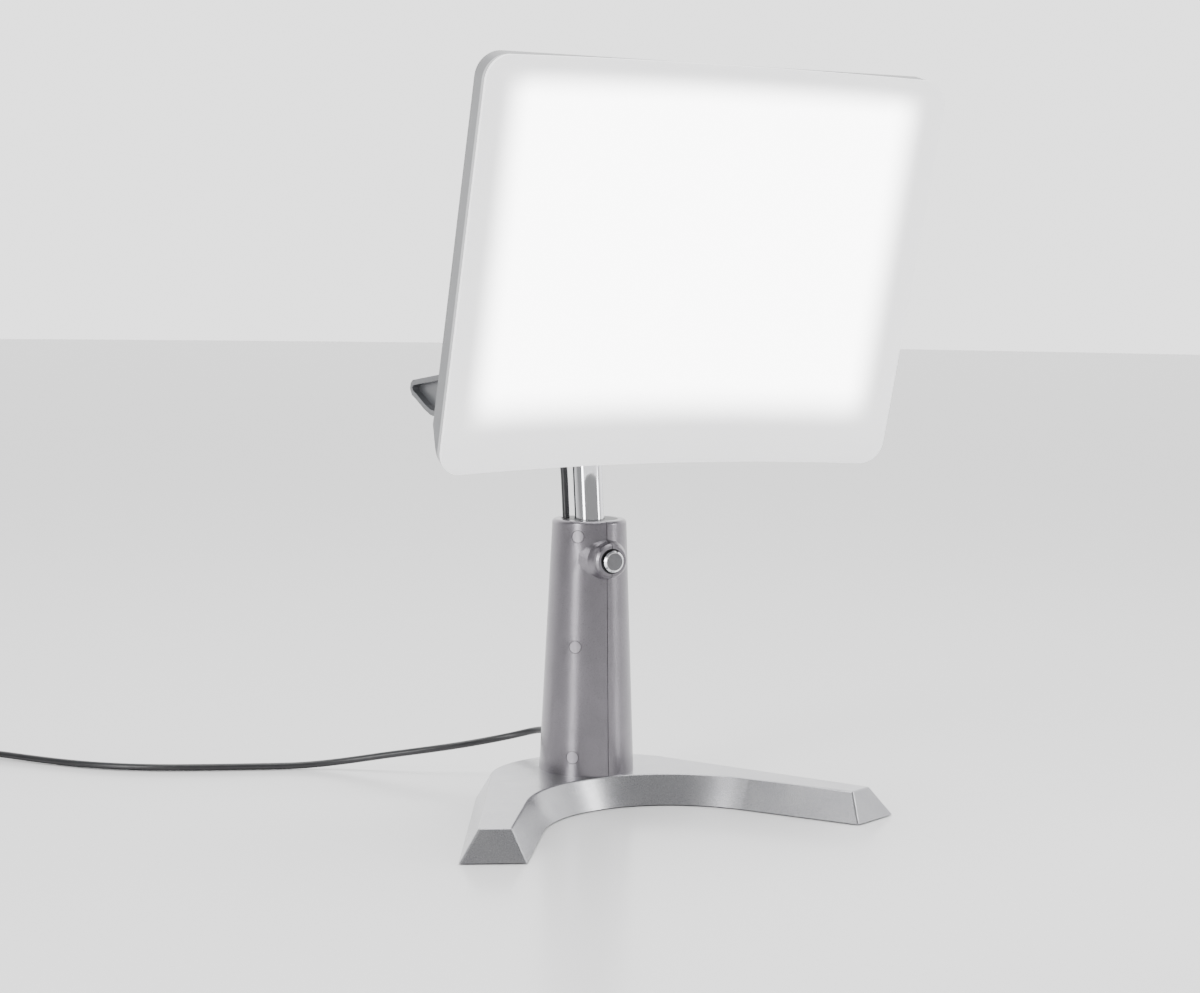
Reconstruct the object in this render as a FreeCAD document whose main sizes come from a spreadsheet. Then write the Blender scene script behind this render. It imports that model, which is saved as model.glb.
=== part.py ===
import FreeCAD, Part
import math
import os
import Sketcher
from FreeCAD import Placement, Rotation, Vector

# Light therapy lamp: a wide tilting light panel on a height-adjustable mast with a crescent foot.
# Origin: on the floor at the column's axis. +X is the lamp's own left-to-right seen from the front,
# -Y is the front and +Z is up. All sizes are in millimetres and degrees.

SIZES = (
    # Foot
    ("foot_height", 24.2), ("floor_gap", 1.0), ("foot_draft", 13.5), ("foot_wall", 4.0),
    ("foot_rear_radius", 100.0), ("foot_rear_centre", 43.6), ("foot_inner_radius", 122.0),
    ("foot_inner_centre", 162.4), ("tip_outer_across", 175.5), ("tip_outer_ahead", 162.5),
    ("tip_inner_across", 152.5), ("tip_inner_ahead", 172.0), ("cheek_across", 79.0),
    ("cheek_ahead", 17.0), ("foot_round", 2.2), ("weight_thick", 12.0), ("cover_thick", 2.5),
    ("pad_radius", 9.0), ("pad_seat", 1.2), ("pad_tip_across", 158.0), ("pad_tip_ahead", 158.0),
    ("pad_rear_behind", 40.0), ("cover_screw_radius", 3.0), ("inner_gap", 0.5),
    # Column
    ("column_foot_radius", 39.6), ("column_top_radius", 30.8), ("column_top", 234.6),
    ("column_wall", 3.0), ("column_top_round", 3.0), ("seam_gap", 0.5), ("plug_radius", 5.0),
    ("plug_depth", 1.6), ("plug_low", 39.8), ("plug_middle", 131.2), ("plug_high", 222.1),
    ("plug_angle", 45.0), ("shell_screw_radius", 2.0), ("shell_screw_length", 10.0),
    # Button and its boss
    ("button_height", 203.0), ("boss_reach", 41.2), ("boss_radius", 14.2), ("boss_flare", 18.8),
    ("boss_flare_reach", 31.5), ("boss_wall", 3.4), ("button_radius", 8.9), ("button_reach", 45.4),
    ("button_bevel", 1.3), ("side_gap", 0.4),
    ("plunger_radius", 5.0), ("plunger_nose_reach", 20.5), ("ring_radius", 11.4),
    # Mast and its guide
    ("mast_cross", 232.0), ("mast_lean", 7.04), ("mast_radius", 12.5), ("mast_wall", 1.5),
    ("mast_below", 130.0), ("running_gap", 0.06), ("guide_wall", 2.2), ("guide_bore_gap", 1.0),
    ("guide_below", 140.0), ("bush_length", 14.0), ("post_flange", 33.0), ("post_flange_thick", 5.0),
    ("column_bolt_radius", 2.5), ("column_bolt_circle", 27.0), ("end_bush_length", 16.0),
    ("key_width", 4.0), ("rib_width", 8.0), ("window_height", 18.0), ("collar_thick", 2.4),
    # Lock plate
    ("lock_plate_thick", 3.0), ("lock_drop", 10.6), ("lock_hole_gap", 0.9),
    ("lock_plate_width", 32.0), ("lock_front", 19.5), ("lock_rear", 18.0), ("lock_tilt", 2.0),
    ("lock_waist", 13.0), ("lock_waist_ahead", 2.0), ("lock_waist_behind", 7.0),
    ("lock_spring_radius", 3.4), ("lock_spring_wire", 0.8), ("lock_spring_turns", 3.0),
    ("lock_spring_pitch", 2.2),
    # Yoke, in the mast's own frame
    ("yoke_top", 119.5), ("pivot_ahead", 92.0), ("hub_radius", 21.0), ("arm_width", 21.0),
    ("arm_gap", 12.0), ("arm_recess", 6.0), ("arm_rim", 4.2), ("bar_rear", 11.0),
    ("bar_front", 13.0), ("bar_drop", 20.0), ("socket_radius", 18.5), ("socket_drop", 34.0),
    ("rib_groove", 1.6), ("clamp_screw_radius", 2.4), ("clamp_head_radius", 4.4),
    # Tilt hinge
    ("pivot_bolt_radius", 4.0), ("bolt_head_radius", 8.5), ("bolt_head_thick", 4.5),
    ("washer_radius", 15.0), ("washer_thick", 1.6), ("nut_radius", 8.0), ("nut_thick", 6.0),
    ("face_gap", 0.1),
    # Light panel, in the head's own frame with the tilt axis as origin
    ("tilt_rest", 15.13), ("panel_width", 394.0), ("panel_height", 313.8), ("face_ahead", 67.4),
    ("bottom_below", 39.8), ("corner_radius", 19.0), ("face_hollow", 17.0), ("cover_wall", 3.0),
    ("rim_depth", 20.5), ("pan_depth", 43.0), ("pan_inset", 22.0), ("shell_wall", 2.5),
    ("bevel_depth", 4.0), ("bevel_up", 5.0), ("bevel_rise", 34.0),
    ("housing_half", 119.0), ("housing_depth", 81.0), ("housing_low", 26.0),
    ("housing_high", 112.0), ("housing_round", 10.0), ("hinge_boss_radius", 17.0), ("boss_inset", 6.0),
    ("vent_count", 9.0), ("vent_pitch", 11.0), ("vent_width", 4.0), ("vent_length", 120.0),
    ("vent_start", 150.0), ("head_screw_radius", 2.0), ("screw_post_radius", 4.5),
    # Lamps and gear
    ("tube_radius", 7.6), ("tube_spacing", 19.0), ("lamp_ends", 138.0), ("tube_depth", 31.0),
    ("lamp_pitch", 72.0), ("lamp_first", 74.0), ("base_length", 24.0), ("base_height", 32.0),
    ("base_depth", 15.0), ("lamp_margin", 59.0), ("holder_length", 12.0), ("reflector_wall", 0.8),
    ("reflector_margin", 24.0), ("clip_width", 8.0), ("clip_depth", 7.3), ("ballast_length", 200.0),
    ("ballast_height", 42.0), ("ballast_depth", 26.0), ("ballast_up", 52.0),
    ("bracket_thick", 2.5), ("bracket_height", 44.0), ("bracket_length", 38.0),
    # Power switch on the housing's back
    ("switch_across", 62.0), ("switch_up", 20.0), ("switch_length", 21.0), ("switch_height", 15.0),
    ("switch_frame", 2.2), ("switch_body_depth", 17.0),
    # Cords
    ("cord_radius", 3.0), ("lead_left", 16.6), ("lead_behind", 9.6), ("lead_entry", 27.0),
    ("lead_entry_depth", 7.0), ("gland_height", 44.0),
    ("gland_length", 30.0), ("gland_radius", 6.2), ("gland_tip_radius", 4.3),
    ("coil_across", 473.0), ("coil_behind", 352.0), ("coil_radius", 34.0), ("coil_gap", 0.9),
    ("coil_turns", 5.5), ("tie_wall", 0.8), ("plug_body_length", 32.0), ("plug_body_radius", 12.0),
    ("pin_length", 17.0), ("pin_width", 6.35), ("pin_thick", 1.55), ("pin_spacing", 12.7),
)

doc = FreeCAD.newDocument("LightTherapyLamp")
sheet = doc.addObject("Spreadsheet::Sheet", "Sizes")
for row, (alias, number) in enumerate(SIZES, start=1):
    sheet.set("A%d" % row, alias)
    sheet.set("B%d" % row, str(number))
    sheet.setAlias("B%d" % row, alias)
doc.recompute()


class Size:
    """A size with its number and the sheet expression that gives it."""

    def __init__(self, number, text):
        self.number = number
        self.text = text

    def __float__(self):
        return float(self.number)

    def joined(self, other, sign, number):
        text = other.text if isinstance(other, Size) else repr(float(other))
        return Size(number, "(%s %s %s)" % (self.text, sign, text))

    def __add__(self, other):
        return self.joined(other, "+", float(self) + float(other))

    def __sub__(self, other):
        return self.joined(other, "-", float(self) - float(other))

    def __mul__(self, other):
        return self.joined(other, "*", float(self) * float(other))

    def __truediv__(self, other):
        return self.joined(other, "/", float(self) / float(other))

    def __neg__(self):
        return Size(-float(self), "(0 - %s)" % self.text)

    __radd__ = __add__
    __rmul__ = __mul__


class Sheet:
    """Gives each size of the sheet by its alias."""

    def __getattr__(self, alias):
        return Size(float(getattr(sheet, alias)), "Sizes." + alias)


S = Sheet()
ZERO = Size(0.0, "0")
TURN_TO_X = Rotation(Vector(0, 1, 0), 90)
TURN_TO_Y = Rotation(Vector(1, 0, 0), -90)
subparts = []


def bind(obj, name, size):
    obj.setExpression(name, size.text)


def at(obj, x, y, z, rotation=Rotation()):
    """Puts an object at a place given by three sizes."""
    obj.Placement = Placement(Vector(float(x), float(y), float(z)), rotation)
    for letter, size in (("x", x), ("y", y), ("z", z)):
        if isinstance(size, Size) and size is not ZERO:
            bind(obj, "Placement.Base." + letter, size)
    return obj


def in_frame(obj, frame):
    """Moves a piece, placed in a frame's own coordinates, into that frame."""
    for letter in "xyz":
        obj.setExpression("Placement.Base." + letter, None)
    obj.Placement = frame.multiply(obj.Placement)
    return obj


def box(name, wide, deep, high, x, y, z):
    """A block with its low corner at x, y, z."""
    obj = doc.addObject("Part::Box", name)
    bind(obj, "Length", wide)
    bind(obj, "Width", deep)
    bind(obj, "Height", high)
    return at(obj, x, y, z)


def rod(name, radius, length, x, y, z, rotation=Rotation()):
    """A round bar that starts at x, y, z."""
    obj = doc.addObject("Part::Cylinder", name)
    bind(obj, "Radius", radius)
    bind(obj, "Height", length)
    return at(obj, x, y, z, rotation)


def taper(name, radius_low, radius_high, length, x, y, z, rotation=Rotation()):
    """A cone frustum that starts at x, y, z."""
    obj = doc.addObject("Part::Cone", name)
    bind(obj, "Radius1", radius_low)
    bind(obj, "Radius2", radius_high)
    bind(obj, "Height", length)
    return at(obj, x, y, z, rotation)


def fuse(name, *pieces):
    obj = doc.addObject("Part::MultiFuse", name)
    obj.Shapes = list(pieces)
    return obj


def common(name, *pieces):
    obj = doc.addObject("Part::MultiCommon", name)
    obj.Shapes = list(pieces)
    return obj


def cut(name, base, *tools):
    obj = doc.addObject("Part::Cut", name)
    obj.Base = base
    obj.Tool = tools[0] if len(tools) == 1 else fuse(name + "_tools", *tools)
    return obj


def group(name, *pieces):
    """Several separate solids that share one node."""
    obj = doc.addObject("Part::Compound", name)
    obj.Links = list(pieces)
    return obj


def formed(name, shape):
    """A form that has no primitive: its shape is worked out from the sheet's values."""
    obj = doc.addObject("Part::Feature", name)
    obj.Shape = shape
    return obj


def keep(label, obj, placement=None):
    """Names a finished sub-part and puts it in its frame."""
    obj.Label = label
    if placement is not None:
        obj.Placement = placement
    subparts.append(obj)
    return obj


def profile(body, name, role, points):
    """A closed outline of straight lines in a body's plane, each corner held by two sizes."""
    sketch = body.newObject("Sketcher::SketchObject", name)
    plane = [item for item in body.Origin.OriginFeatures if item.Role == role][0]
    sketch.AttachmentSupport = [(plane, "")]
    sketch.MapMode = "FlatFace"
    count = len(points)
    for index in range(count):
        first, last = points[index], points[(index + 1) % count]
        start = Vector(float(first[0]), float(first[1]), 0)
        end = Vector(float(last[0]), float(last[1]), 0)
        sketch.addGeometry(Part.LineSegment(start, end), False)
    for index in range(count):
        following = (index + 1) % count
        sketch.addConstraint(Sketcher.Constraint("Coincident", index, 2, following, 1))
    for index, corner in enumerate(points):
        for kind, axis, size in (("DistanceX", -2, corner[0]), ("DistanceY", -1, corner[1])):
            if abs(float(size)) < 1e-9:
                sketch.addConstraint(Sketcher.Constraint("PointOnObject", index, 1, axis))
            else:
                held = sketch.addConstraint(
                    Sketcher.Constraint(kind, -1, 1, index, 1, float(size)))
                bind(sketch, "Constraints[%d]" % held, size)
    return sketch


def turned(name, points):
    """A body turned about Z from an outline of (radius, height) corners."""
    body = doc.addObject("PartDesign::Body", name)
    sketch = profile(body, name + "_outline", "XZ_Plane", points)
    turn = body.newObject("PartDesign::Revolution", name + "_turn")
    turn.Profile = sketch
    turn.ReferenceAxis = (sketch, ["V_Axis"])
    turn.Angle = 360.0
    return body


def plate(name, points, thickness, role="XY_Plane", both_ways=False):
    """A body padded from an outline of corners."""
    body = doc.addObject("PartDesign::Body", name)
    sketch = profile(body, name + "_outline", role, points)
    pad = body.newObject("PartDesign::Pad", name + "_pad")
    pad.Profile = sketch
    bind(pad, "Length", thickness)
    pad.Midplane = both_ways
    return body


def radians(size):
    return math.radians(float(size))


# The mast's frame has its Z along the leaning mast, and the head's frame lies on the tilt axis.
mast_frame = Placement(Vector(0, 0, float(S.mast_cross)),
                       Rotation(Vector(1, 0, 0), -float(S.mast_lean)))
pivot_rise = S.yoke_top - S.hub_radius
pivot = mast_frame.multVec(Vector(0, -float(S.pivot_ahead), float(pivot_rise)))
head_frame = Placement(pivot, Rotation(Vector(1, 0, 0), float(S.tilt_rest)))
arm_inner = S.housing_half + S.arm_gap
arm_outer = arm_inner + S.arm_width


def polygon_face(points):
    corners = [Vector(*point) for point in points]
    return Part.Face(Part.makePolygon(corners + corners[:1]))


# Foot: a crescent with sloping sides, cast hollow, with a steel weight and a bottom cover inside.
def crescent(inset, height):
    """The foot's outline, drawn in by inset from its top edge, at a height."""
    rear_radius = float(S.foot_rear_radius) - inset
    rear_y = -float(S.foot_rear_centre)
    inner_radius = float(S.foot_inner_radius) + inset
    inner_y = -float(S.foot_inner_centre)
    outer = Vector(float(S.tip_outer_across), -float(S.tip_outer_ahead), 0)
    inner = Vector(float(S.tip_inner_across), -float(S.tip_inner_ahead), 0)
    cheek = Vector(float(S.cheek_across), float(S.cheek_ahead), 0)
    side = (cheek - outer).normalize()
    side_in = Vector(-side.y, side.x, 0)
    end = (outer - inner).normalize()
    end_in = Vector(-end.y, end.x, 0)
    centre = Vector(0, inner_y, 0)
    reach = (inner - centre).Length
    swing = math.atan2(inner.y - inner_y, inner.x)
    swing += math.acos(float(S.foot_inner_radius) / reach)
    inner_normal = Vector(math.cos(swing), math.sin(swing), 0)

    def meet(point_a, normal_a, point_b, normal_b):
        """Where two lines meet, each given by a point and its normal."""
        a, b = point_a.dot(normal_a), point_b.dot(normal_b)
        det = normal_a.x * normal_b.y - normal_a.y * normal_b.x
        return Vector((a * normal_b.y - b * normal_a.y) / det,
                      (b * normal_a.x - a * normal_b.x) / det, 0)

    side_at = outer + side_in * inset
    end_at = inner + end_in * inset
    inner_at = inner + inner_normal * inset
    tip_out = meet(side_at, side_in, end_at, end_in)
    tip_in = meet(inner_at, inner_normal, end_at, end_in)
    touch = Vector(inner_radius * math.cos(swing), inner_y + inner_radius * math.sin(swing), 0)
    drop = (side_at - Vector(0, rear_y, 0)).dot(side_in)
    foot_point = Vector(0, rear_y, 0) + side_in * drop
    half_chord = math.sqrt(max(rear_radius ** 2 - drop ** 2, 0.0))
    cheek_at = foot_point + side * half_chord

    def mirrored(point):
        return Vector(-point.x, point.y, 0)

    rear = Vector(0, rear_y + rear_radius, 0)
    front = Vector(0, inner_y + inner_radius, 0)
    edges = [
        Part.LineSegment(tip_out, cheek_at).toShape(),
        Part.Arc(cheek_at, rear, mirrored(cheek_at)).toShape(),
        Part.LineSegment(mirrored(cheek_at), mirrored(tip_out)).toShape(),
        Part.LineSegment(mirrored(tip_out), mirrored(tip_in)).toShape(),
        Part.LineSegment(mirrored(tip_in), mirrored(touch)).toShape(),
        Part.Arc(mirrored(touch), front, touch).toShape(),
        Part.LineSegment(touch, tip_in).toShape(),
        Part.LineSegment(tip_in, tip_out).toShape(),
    ]
    wire = Part.Wire(edges)
    wire.translate(Vector(0, 0, height))
    return wire


def crescent_block(inset_low, inset_high, low, high):
    return Part.makeLoft([crescent(inset_low, low), crescent(inset_high, high)], True, True)


foot_low = float(S.floor_gap)
foot_top = float(S.foot_height)
foot_wall = float(S.foot_wall)
foot_draft = float(S.foot_draft)
slope_per_mm = foot_draft / (foot_top - foot_low)


def wall_inset(height):
    """How far the sloping side is drawn in at a height, plus the wall."""
    return -foot_draft + slope_per_mm * (height - foot_low) + foot_wall


foot_outer = crescent_block(-foot_draft, 0.0, foot_low, foot_top)
sharp_edges = [edge for edge in foot_outer.Edges
               if edge.BoundBox.ZMin > foot_top - 0.01 or edge.BoundBox.ZLength > 5.0]
foot_outer = foot_outer.makeFillet(float(S.foot_round), sharp_edges)
hollow_top = foot_top - foot_wall
foot_hollow = crescent_block(wall_inset(foot_low - 1.0), wall_inset(hollow_top),
                             foot_low - 1.0, hollow_top)
foot_block = formed("foot_block", foot_outer)
foot_space = formed("foot_space", foot_hollow)
deck = Size(hollow_top, "(Sizes.foot_height - Sizes.foot_wall)")
bolt_places = []
for index in range(4):
    turn = math.radians(45.0 + 90.0 * index)
    bolt_places.append((S.column_bolt_circle * math.cos(turn),
                        S.column_bolt_circle * math.sin(turn)))
deck_holes = [rod("deck_hole_%d" % index, S.column_bolt_radius + S.side_gap, S.foot_height,
                  x, y, ZERO) for index, (x, y) in enumerate(bolt_places)]
keep("foot_casting", cut("foot_casting", foot_block, foot_space, *deck_holes))

weight_high = hollow_top - float(S.inner_gap) * 2
weight_low = weight_high - float(S.weight_thick)
weight_inset = wall_inset(weight_high) + float(S.inner_gap)
weight_block = formed("weight_block", crescent_block(weight_inset, weight_inset,
                                                     weight_low, weight_high))
weight_holes = [rod("weight_hole_%d" % index, S.column_bolt_radius * 2 + S.side_gap,
                    S.foot_height, x, y, ZERO) for index, (x, y) in enumerate(bolt_places)]
keep("foot_weight", cut("foot_weight", weight_block, *weight_holes))

cover_high = foot_low + float(S.cover_thick)
cover_inset = wall_inset(cover_high) + float(S.inner_gap)
cover_block = formed("cover_block", crescent_block(cover_inset, cover_inset, foot_low, cover_high))
pad_places = ((S.pad_tip_across, -S.pad_tip_ahead), (-S.pad_tip_across, -S.pad_tip_ahead),
              (ZERO, ZERO), (ZERO, S.pad_rear_behind))
pad_tools = []
pads = []
for index, (x, y) in enumerate(pad_places):
    pad_tools.append(rod("pad_seat_%d" % index, S.pad_radius + S.side_gap, S.pad_seat,
                         x, y, S.floor_gap))
    pads.append(rod("pad_%d" % index, S.pad_radius, S.floor_gap + S.pad_seat, x, y, ZERO))
screw_places = ((S.pad_tip_across * 0.8, -S.pad_tip_ahead * 0.72),
                (-S.pad_tip_across * 0.8, -S.pad_tip_ahead * 0.72),
                (S.cheek_across * 0.72, ZERO), (-S.cheek_across * 0.72, ZERO))
cover_screws = []
for index, (x, y) in enumerate(screw_places):
    head = rod("cover_screw_head_%d" % index, S.cover_screw_radius, S.cover_thick, x, y,
               S.floor_gap)
    shank = rod("cover_screw_shank_%d" % index, S.cover_screw_radius * 0.5, S.cover_thick * 2,
                x, y, S.floor_gap)
    pad_tools.append(rod("cover_screw_hole_%d" % index, S.cover_screw_radius, S.cover_thick, x, y,
                         S.floor_gap))
    cover_screws.append(fuse("cover_screw_%d" % index, head, shank))
keep("foot_cover", cut("foot_cover", cover_block, *pad_tools))
keep("foot_pads", group("foot_pads", *pads))
keep("cover_screws", group("cover_screws", *cover_screws))

# Column: a round tapering shell in two halves, round a guide post that stands on the foot.
def column_radius(height):
    """The column's outside radius at a height."""
    fall = (S.column_foot_radius - S.column_top_radius) / (S.column_top - S.foot_height)
    return S.column_foot_radius - fall * (height - S.foot_height)


column_outline = turned("column_outline", [
    (ZERO, S.foot_height), (S.column_foot_radius, S.foot_height),
    (S.column_top_radius, S.column_top), (ZERO, S.column_top)])
doc.recompute()
top_edge = [index for index, edge in enumerate(column_outline.Shape.Edges, start=1)
            if edge.Closed and abs(edge.BoundBox.Center.z - float(S.column_top)) < 0.01
            and edge.BoundBox.XLength > float(S.column_top_radius)]
column_turn = column_outline.Tip
rounding = column_outline.newObject("PartDesign::Fillet", "column_top_rounding")
rounding.Base = (column_turn, ["Edge%d" % top_edge[0]])
bind(rounding, "Radius", S.column_top_round)

to_front = Rotation(Vector(1, 0, 0), 90)
boss = turned("boss", [
    (ZERO, S.plunger_nose_reach), (S.boss_flare + 3.4, S.boss_flare_reach - 8.0),
    (S.boss_flare + 0.9, S.boss_flare_reach - 4.6), (S.boss_flare - 1.6, S.boss_flare_reach - 1.2),
    (S.boss_radius + 1.3, S.boss_flare_reach + 2.2), (S.boss_radius + 0.3, S.boss_flare_reach + 5.4),
    (S.boss_radius, S.boss_reach - 1.6), (S.boss_radius - 1.5, S.boss_reach), (ZERO, S.boss_reach)])
at(boss, ZERO, ZERO, S.button_height, to_front)
lip_reach = S.boss_reach - S.boss_wall - 2.2
column_space = taper("column_space", S.column_foot_radius - S.column_wall,
                     S.column_top_radius - S.column_wall,
                     S.column_top - S.foot_height - S.column_wall, ZERO, ZERO, S.foot_height)
boss_bore = rod("boss_bore", S.ring_radius, lip_reach, ZERO, ZERO, S.button_height, to_front)
button_bore = rod("button_bore", S.button_radius + S.side_gap, S.button_reach + 5.0, ZERO, ZERO,
                  S.button_height, to_front)
collar_radius = S.column_top_radius - S.column_top_round - 4.0
mouth = rod("mouth", collar_radius, S.column_wall * 2, ZERO, ZERO, S.column_top - S.column_wall - 0.5)
gland_hole = rod("gland_hole", S.gland_radius + 0.2, S.column_foot_radius, -S.lead_left * 0.2,
                 ZERO, S.gland_height, TURN_TO_Y)

plug_heights = (S.plug_low, S.plug_middle, S.plug_high)
bores = []
pads_inside = []
plugs = []
shell_screws = []
posts = []
pilots = []
for side, turn in (("left", 180.0), ("right", 0.0)):
    outward = Rotation(Vector(0, 0, 1), turn + float(S.plug_angle)).multiply(TURN_TO_X)
    across, behind = outward.multVec(Vector(0, 0, 1)).x, outward.multVec(Vector(0, 0, 1)).y
    for index, height in enumerate(plug_heights):
        name = "%s_%d" % (side, index)
        surface = column_radius(height)
        inner = surface - S.column_wall

        def along(tag, radius, start, length):
            """A round bar on the screw's line, from a distance off the column's axis."""
            return rod(tag + "_" + name, radius, length, start * across, start * behind, height,
                       outward)

        pads_inside.append(along("pad_inside", S.plug_radius + 2.0, inner - 2.0, S.column_wall))
        bores.append(along("plug_bore", S.plug_radius + 0.1, surface - S.plug_depth - 1.6,
                           S.plug_depth + 8.0))
        bores.append(along("screw_bore", S.shell_screw_radius + 0.2, inner - 6.0,
                           S.column_wall + 6.0))
        plug_rod = along("plug_rod", S.plug_radius - 0.1, surface - S.plug_depth,
                         S.plug_depth + 4.0)
        plugs.append(common("plug_" + name, plug_rod, column_outline))
        head = along("screw_head", S.plug_radius - 1.0, surface - S.plug_depth - 1.6, Size(1.5, "1.5"))
        shank = along("screw_shank", S.shell_screw_radius,
                      surface - S.plug_depth - S.shell_screw_length, S.shell_screw_length - 1.0)
        shell_screws.append(fuse("shell_screw_" + name, head, shank))
        post_start = Size(6.0, "6") if index else inner - 14.0
        post = along("post", S.plug_radius, post_start, inner - 2.1 - post_start)
        pilot = along("pilot", S.shell_screw_radius,
                      surface - S.plug_depth - S.shell_screw_length, S.shell_screw_length)
        posts.append(post)
        pilots.append(pilot)
        if not index:
            stand_at = inner - 9.0
            posts.append(rod("stand_" + name, S.plug_radius + 0.8, height - S.foot_height,
                             stand_at * across, stand_at * behind, S.foot_height))

pads_cut = common("pads_within", fuse("pads_inside", *pads_inside), column_outline)
column_solid = fuse("column_solid", cut("column_hollow", fuse("column_and_boss", column_outline, boss),
                                        column_space, boss_bore), pads_cut)
column_shell = cut("column_shell", column_solid, button_bore, mouth, gland_hole, *bores)
half_gap = S.seam_gap / 2
for side, corner in (("left", -S.column_foot_radius - 60.0), ("right", half_gap)):
    half = box("half_" + side, S.column_foot_radius + 60.0 - half_gap, S.column_foot_radius * 4,
               S.column_top * 2, corner, -S.column_foot_radius * 2, ZERO)
    keep("column_" + side, common("column_" + side, column_shell, half))
keep("screw_plugs", group("screw_plugs", *plugs))
keep("shell_screws", group("shell_screws", *shell_screws))

# Guide post: a flanged casting with a leaning sleeve that the mast slides in.
sleeve_radius = S.mast_radius + S.guide_bore_gap + S.guide_wall
flange = rod("post_flange", S.post_flange, S.post_flange_thick, ZERO, ZERO, S.foot_height)
sleeve = in_frame(rod("sleeve", sleeve_radius, S.guide_below, ZERO, ZERO, -S.guide_below),
                  mast_frame)
rib = box("post_rib", S.rib_width, S.post_flange - 8.0, S.column_top - S.foot_height - 14.0,
          S.rib_width * -0.5, ZERO, S.foot_height)
rib_notch = box("rib_notch", S.cord_radius * 8, S.post_flange, S.cord_radius * 8,
                S.cord_radius * -4, S.post_flange / 2, S.gland_height - S.cord_radius * 3)
notched_rib = cut("notched_rib", rib, rib_notch)
guide_bore = in_frame(rod("guide_bore", S.mast_radius + S.guide_bore_gap, S.column_top * 2, ZERO,
                          ZERO, -S.column_top), mast_frame)
above = box("above_post", S.post_flange * 4, S.post_flange * 4, S.column_top, -S.post_flange * 2,
            -S.post_flange * 2, S.column_top - S.collar_thick - 0.1)
lock_below = S.mast_cross - S.button_height + S.lock_drop
window_low = -lock_below - 7.0
window = in_frame(box("lock_window", S.lock_plate_width * 2, S.lock_plate_width * 2,
                      S.window_height, -S.lock_plate_width, -S.lock_plate_width, window_low),
                  mast_frame)
window_keep = in_frame(box("window_keep", S.lock_plate_width * 2, S.lock_plate_width,
                           S.window_height, -S.lock_plate_width, S.lock_rear + 0.3, window_low),
                       mast_frame)
key_slot = in_frame(box("key_slot", S.key_width + 0.4, S.mast_radius * 2, S.guide_below * 2,
                        (S.key_width + 0.4) * -0.5, ZERO, -S.guide_below * 2 - 22.0), mast_frame)
key_limit = in_frame(rod("key_limit", S.mast_radius + S.guide_bore_gap + 1.2, S.guide_below * 3,
                         ZERO, ZERO, -S.guide_below * 2), mast_frame)
keyway = common("keyway", key_slot, key_limit)
bolt_bores = [rod("bolt_bore_%d" % index, S.column_bolt_radius, S.post_flange_thick * 3, x, y,
                  S.foot_height - 2.0) for index, (x, y) in enumerate(bolt_places)]
window_cut = cut("window_cut", window, window_keep)
spring_seat = in_frame(box("spring_seat", S.lock_spring_radius * 3, S.lock_spring_radius * 2.6,
                           Size(4.0, "4"), S.lock_spring_radius * -1.5,
                           -S.mast_radius - S.lock_spring_radius * 2.6, window_low - 4.0), mast_frame)
bored = [cut("bored_%d" % index, piece, guide_bore)
         for index, piece in enumerate([flange, sleeve, notched_rib, spring_seat] + posts)]
keep("guide_post", cut("guide_post", fuse("post_solid", *bored), above, keyway, window_cut,
                       *(pilots + bolt_bores)))
column_bolts = []
for index, (x, y) in enumerate(bolt_places):
    head = rod("bolt_head_%d" % index, S.column_bolt_radius * 2, S.column_bolt_radius, x, y,
               deck - S.column_bolt_radius)
    shank = rod("bolt_shank_%d" % index, S.column_bolt_radius, S.foot_wall + S.post_flange_thick,
                x, y, deck)
    column_bolts.append(fuse("column_bolt_%d" % index, head, shank))
keep("column_bolts", group("column_bolts", *column_bolts))
bush = turned("guide_bush", [
    (S.mast_radius + S.running_gap, ZERO), (S.mast_radius + S.guide_bore_gap, ZERO),
    (S.mast_radius + S.guide_bore_gap, S.bush_length), (S.mast_radius + S.running_gap, S.bush_length)])
keep("guide_bush", bush, mast_frame.multiply(
    Placement(Vector(0, 0, -float(S.bush_length) - 6.0), Rotation())))

# Top collar: closes the column's mouth round the tube and the lead.
collar_disc = rod("collar_disc", collar_radius - 0.15, S.collar_thick, ZERO, ZERO,
                  S.column_top - S.collar_thick)
tube_hole = in_frame(rod("collar_tube_hole", S.mast_radius + 0.5, S.column_wall * 8, ZERO, ZERO,
                         -S.column_wall * 4), mast_frame)
lead_hole = in_frame(rod("collar_lead_hole", S.cord_radius + 0.5, S.column_wall * 8, -S.lead_left,
                         S.lead_behind, -S.column_wall * 4), mast_frame)
keep("top_collar", cut("top_collar", collar_disc, tube_hole, lead_hole))

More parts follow.
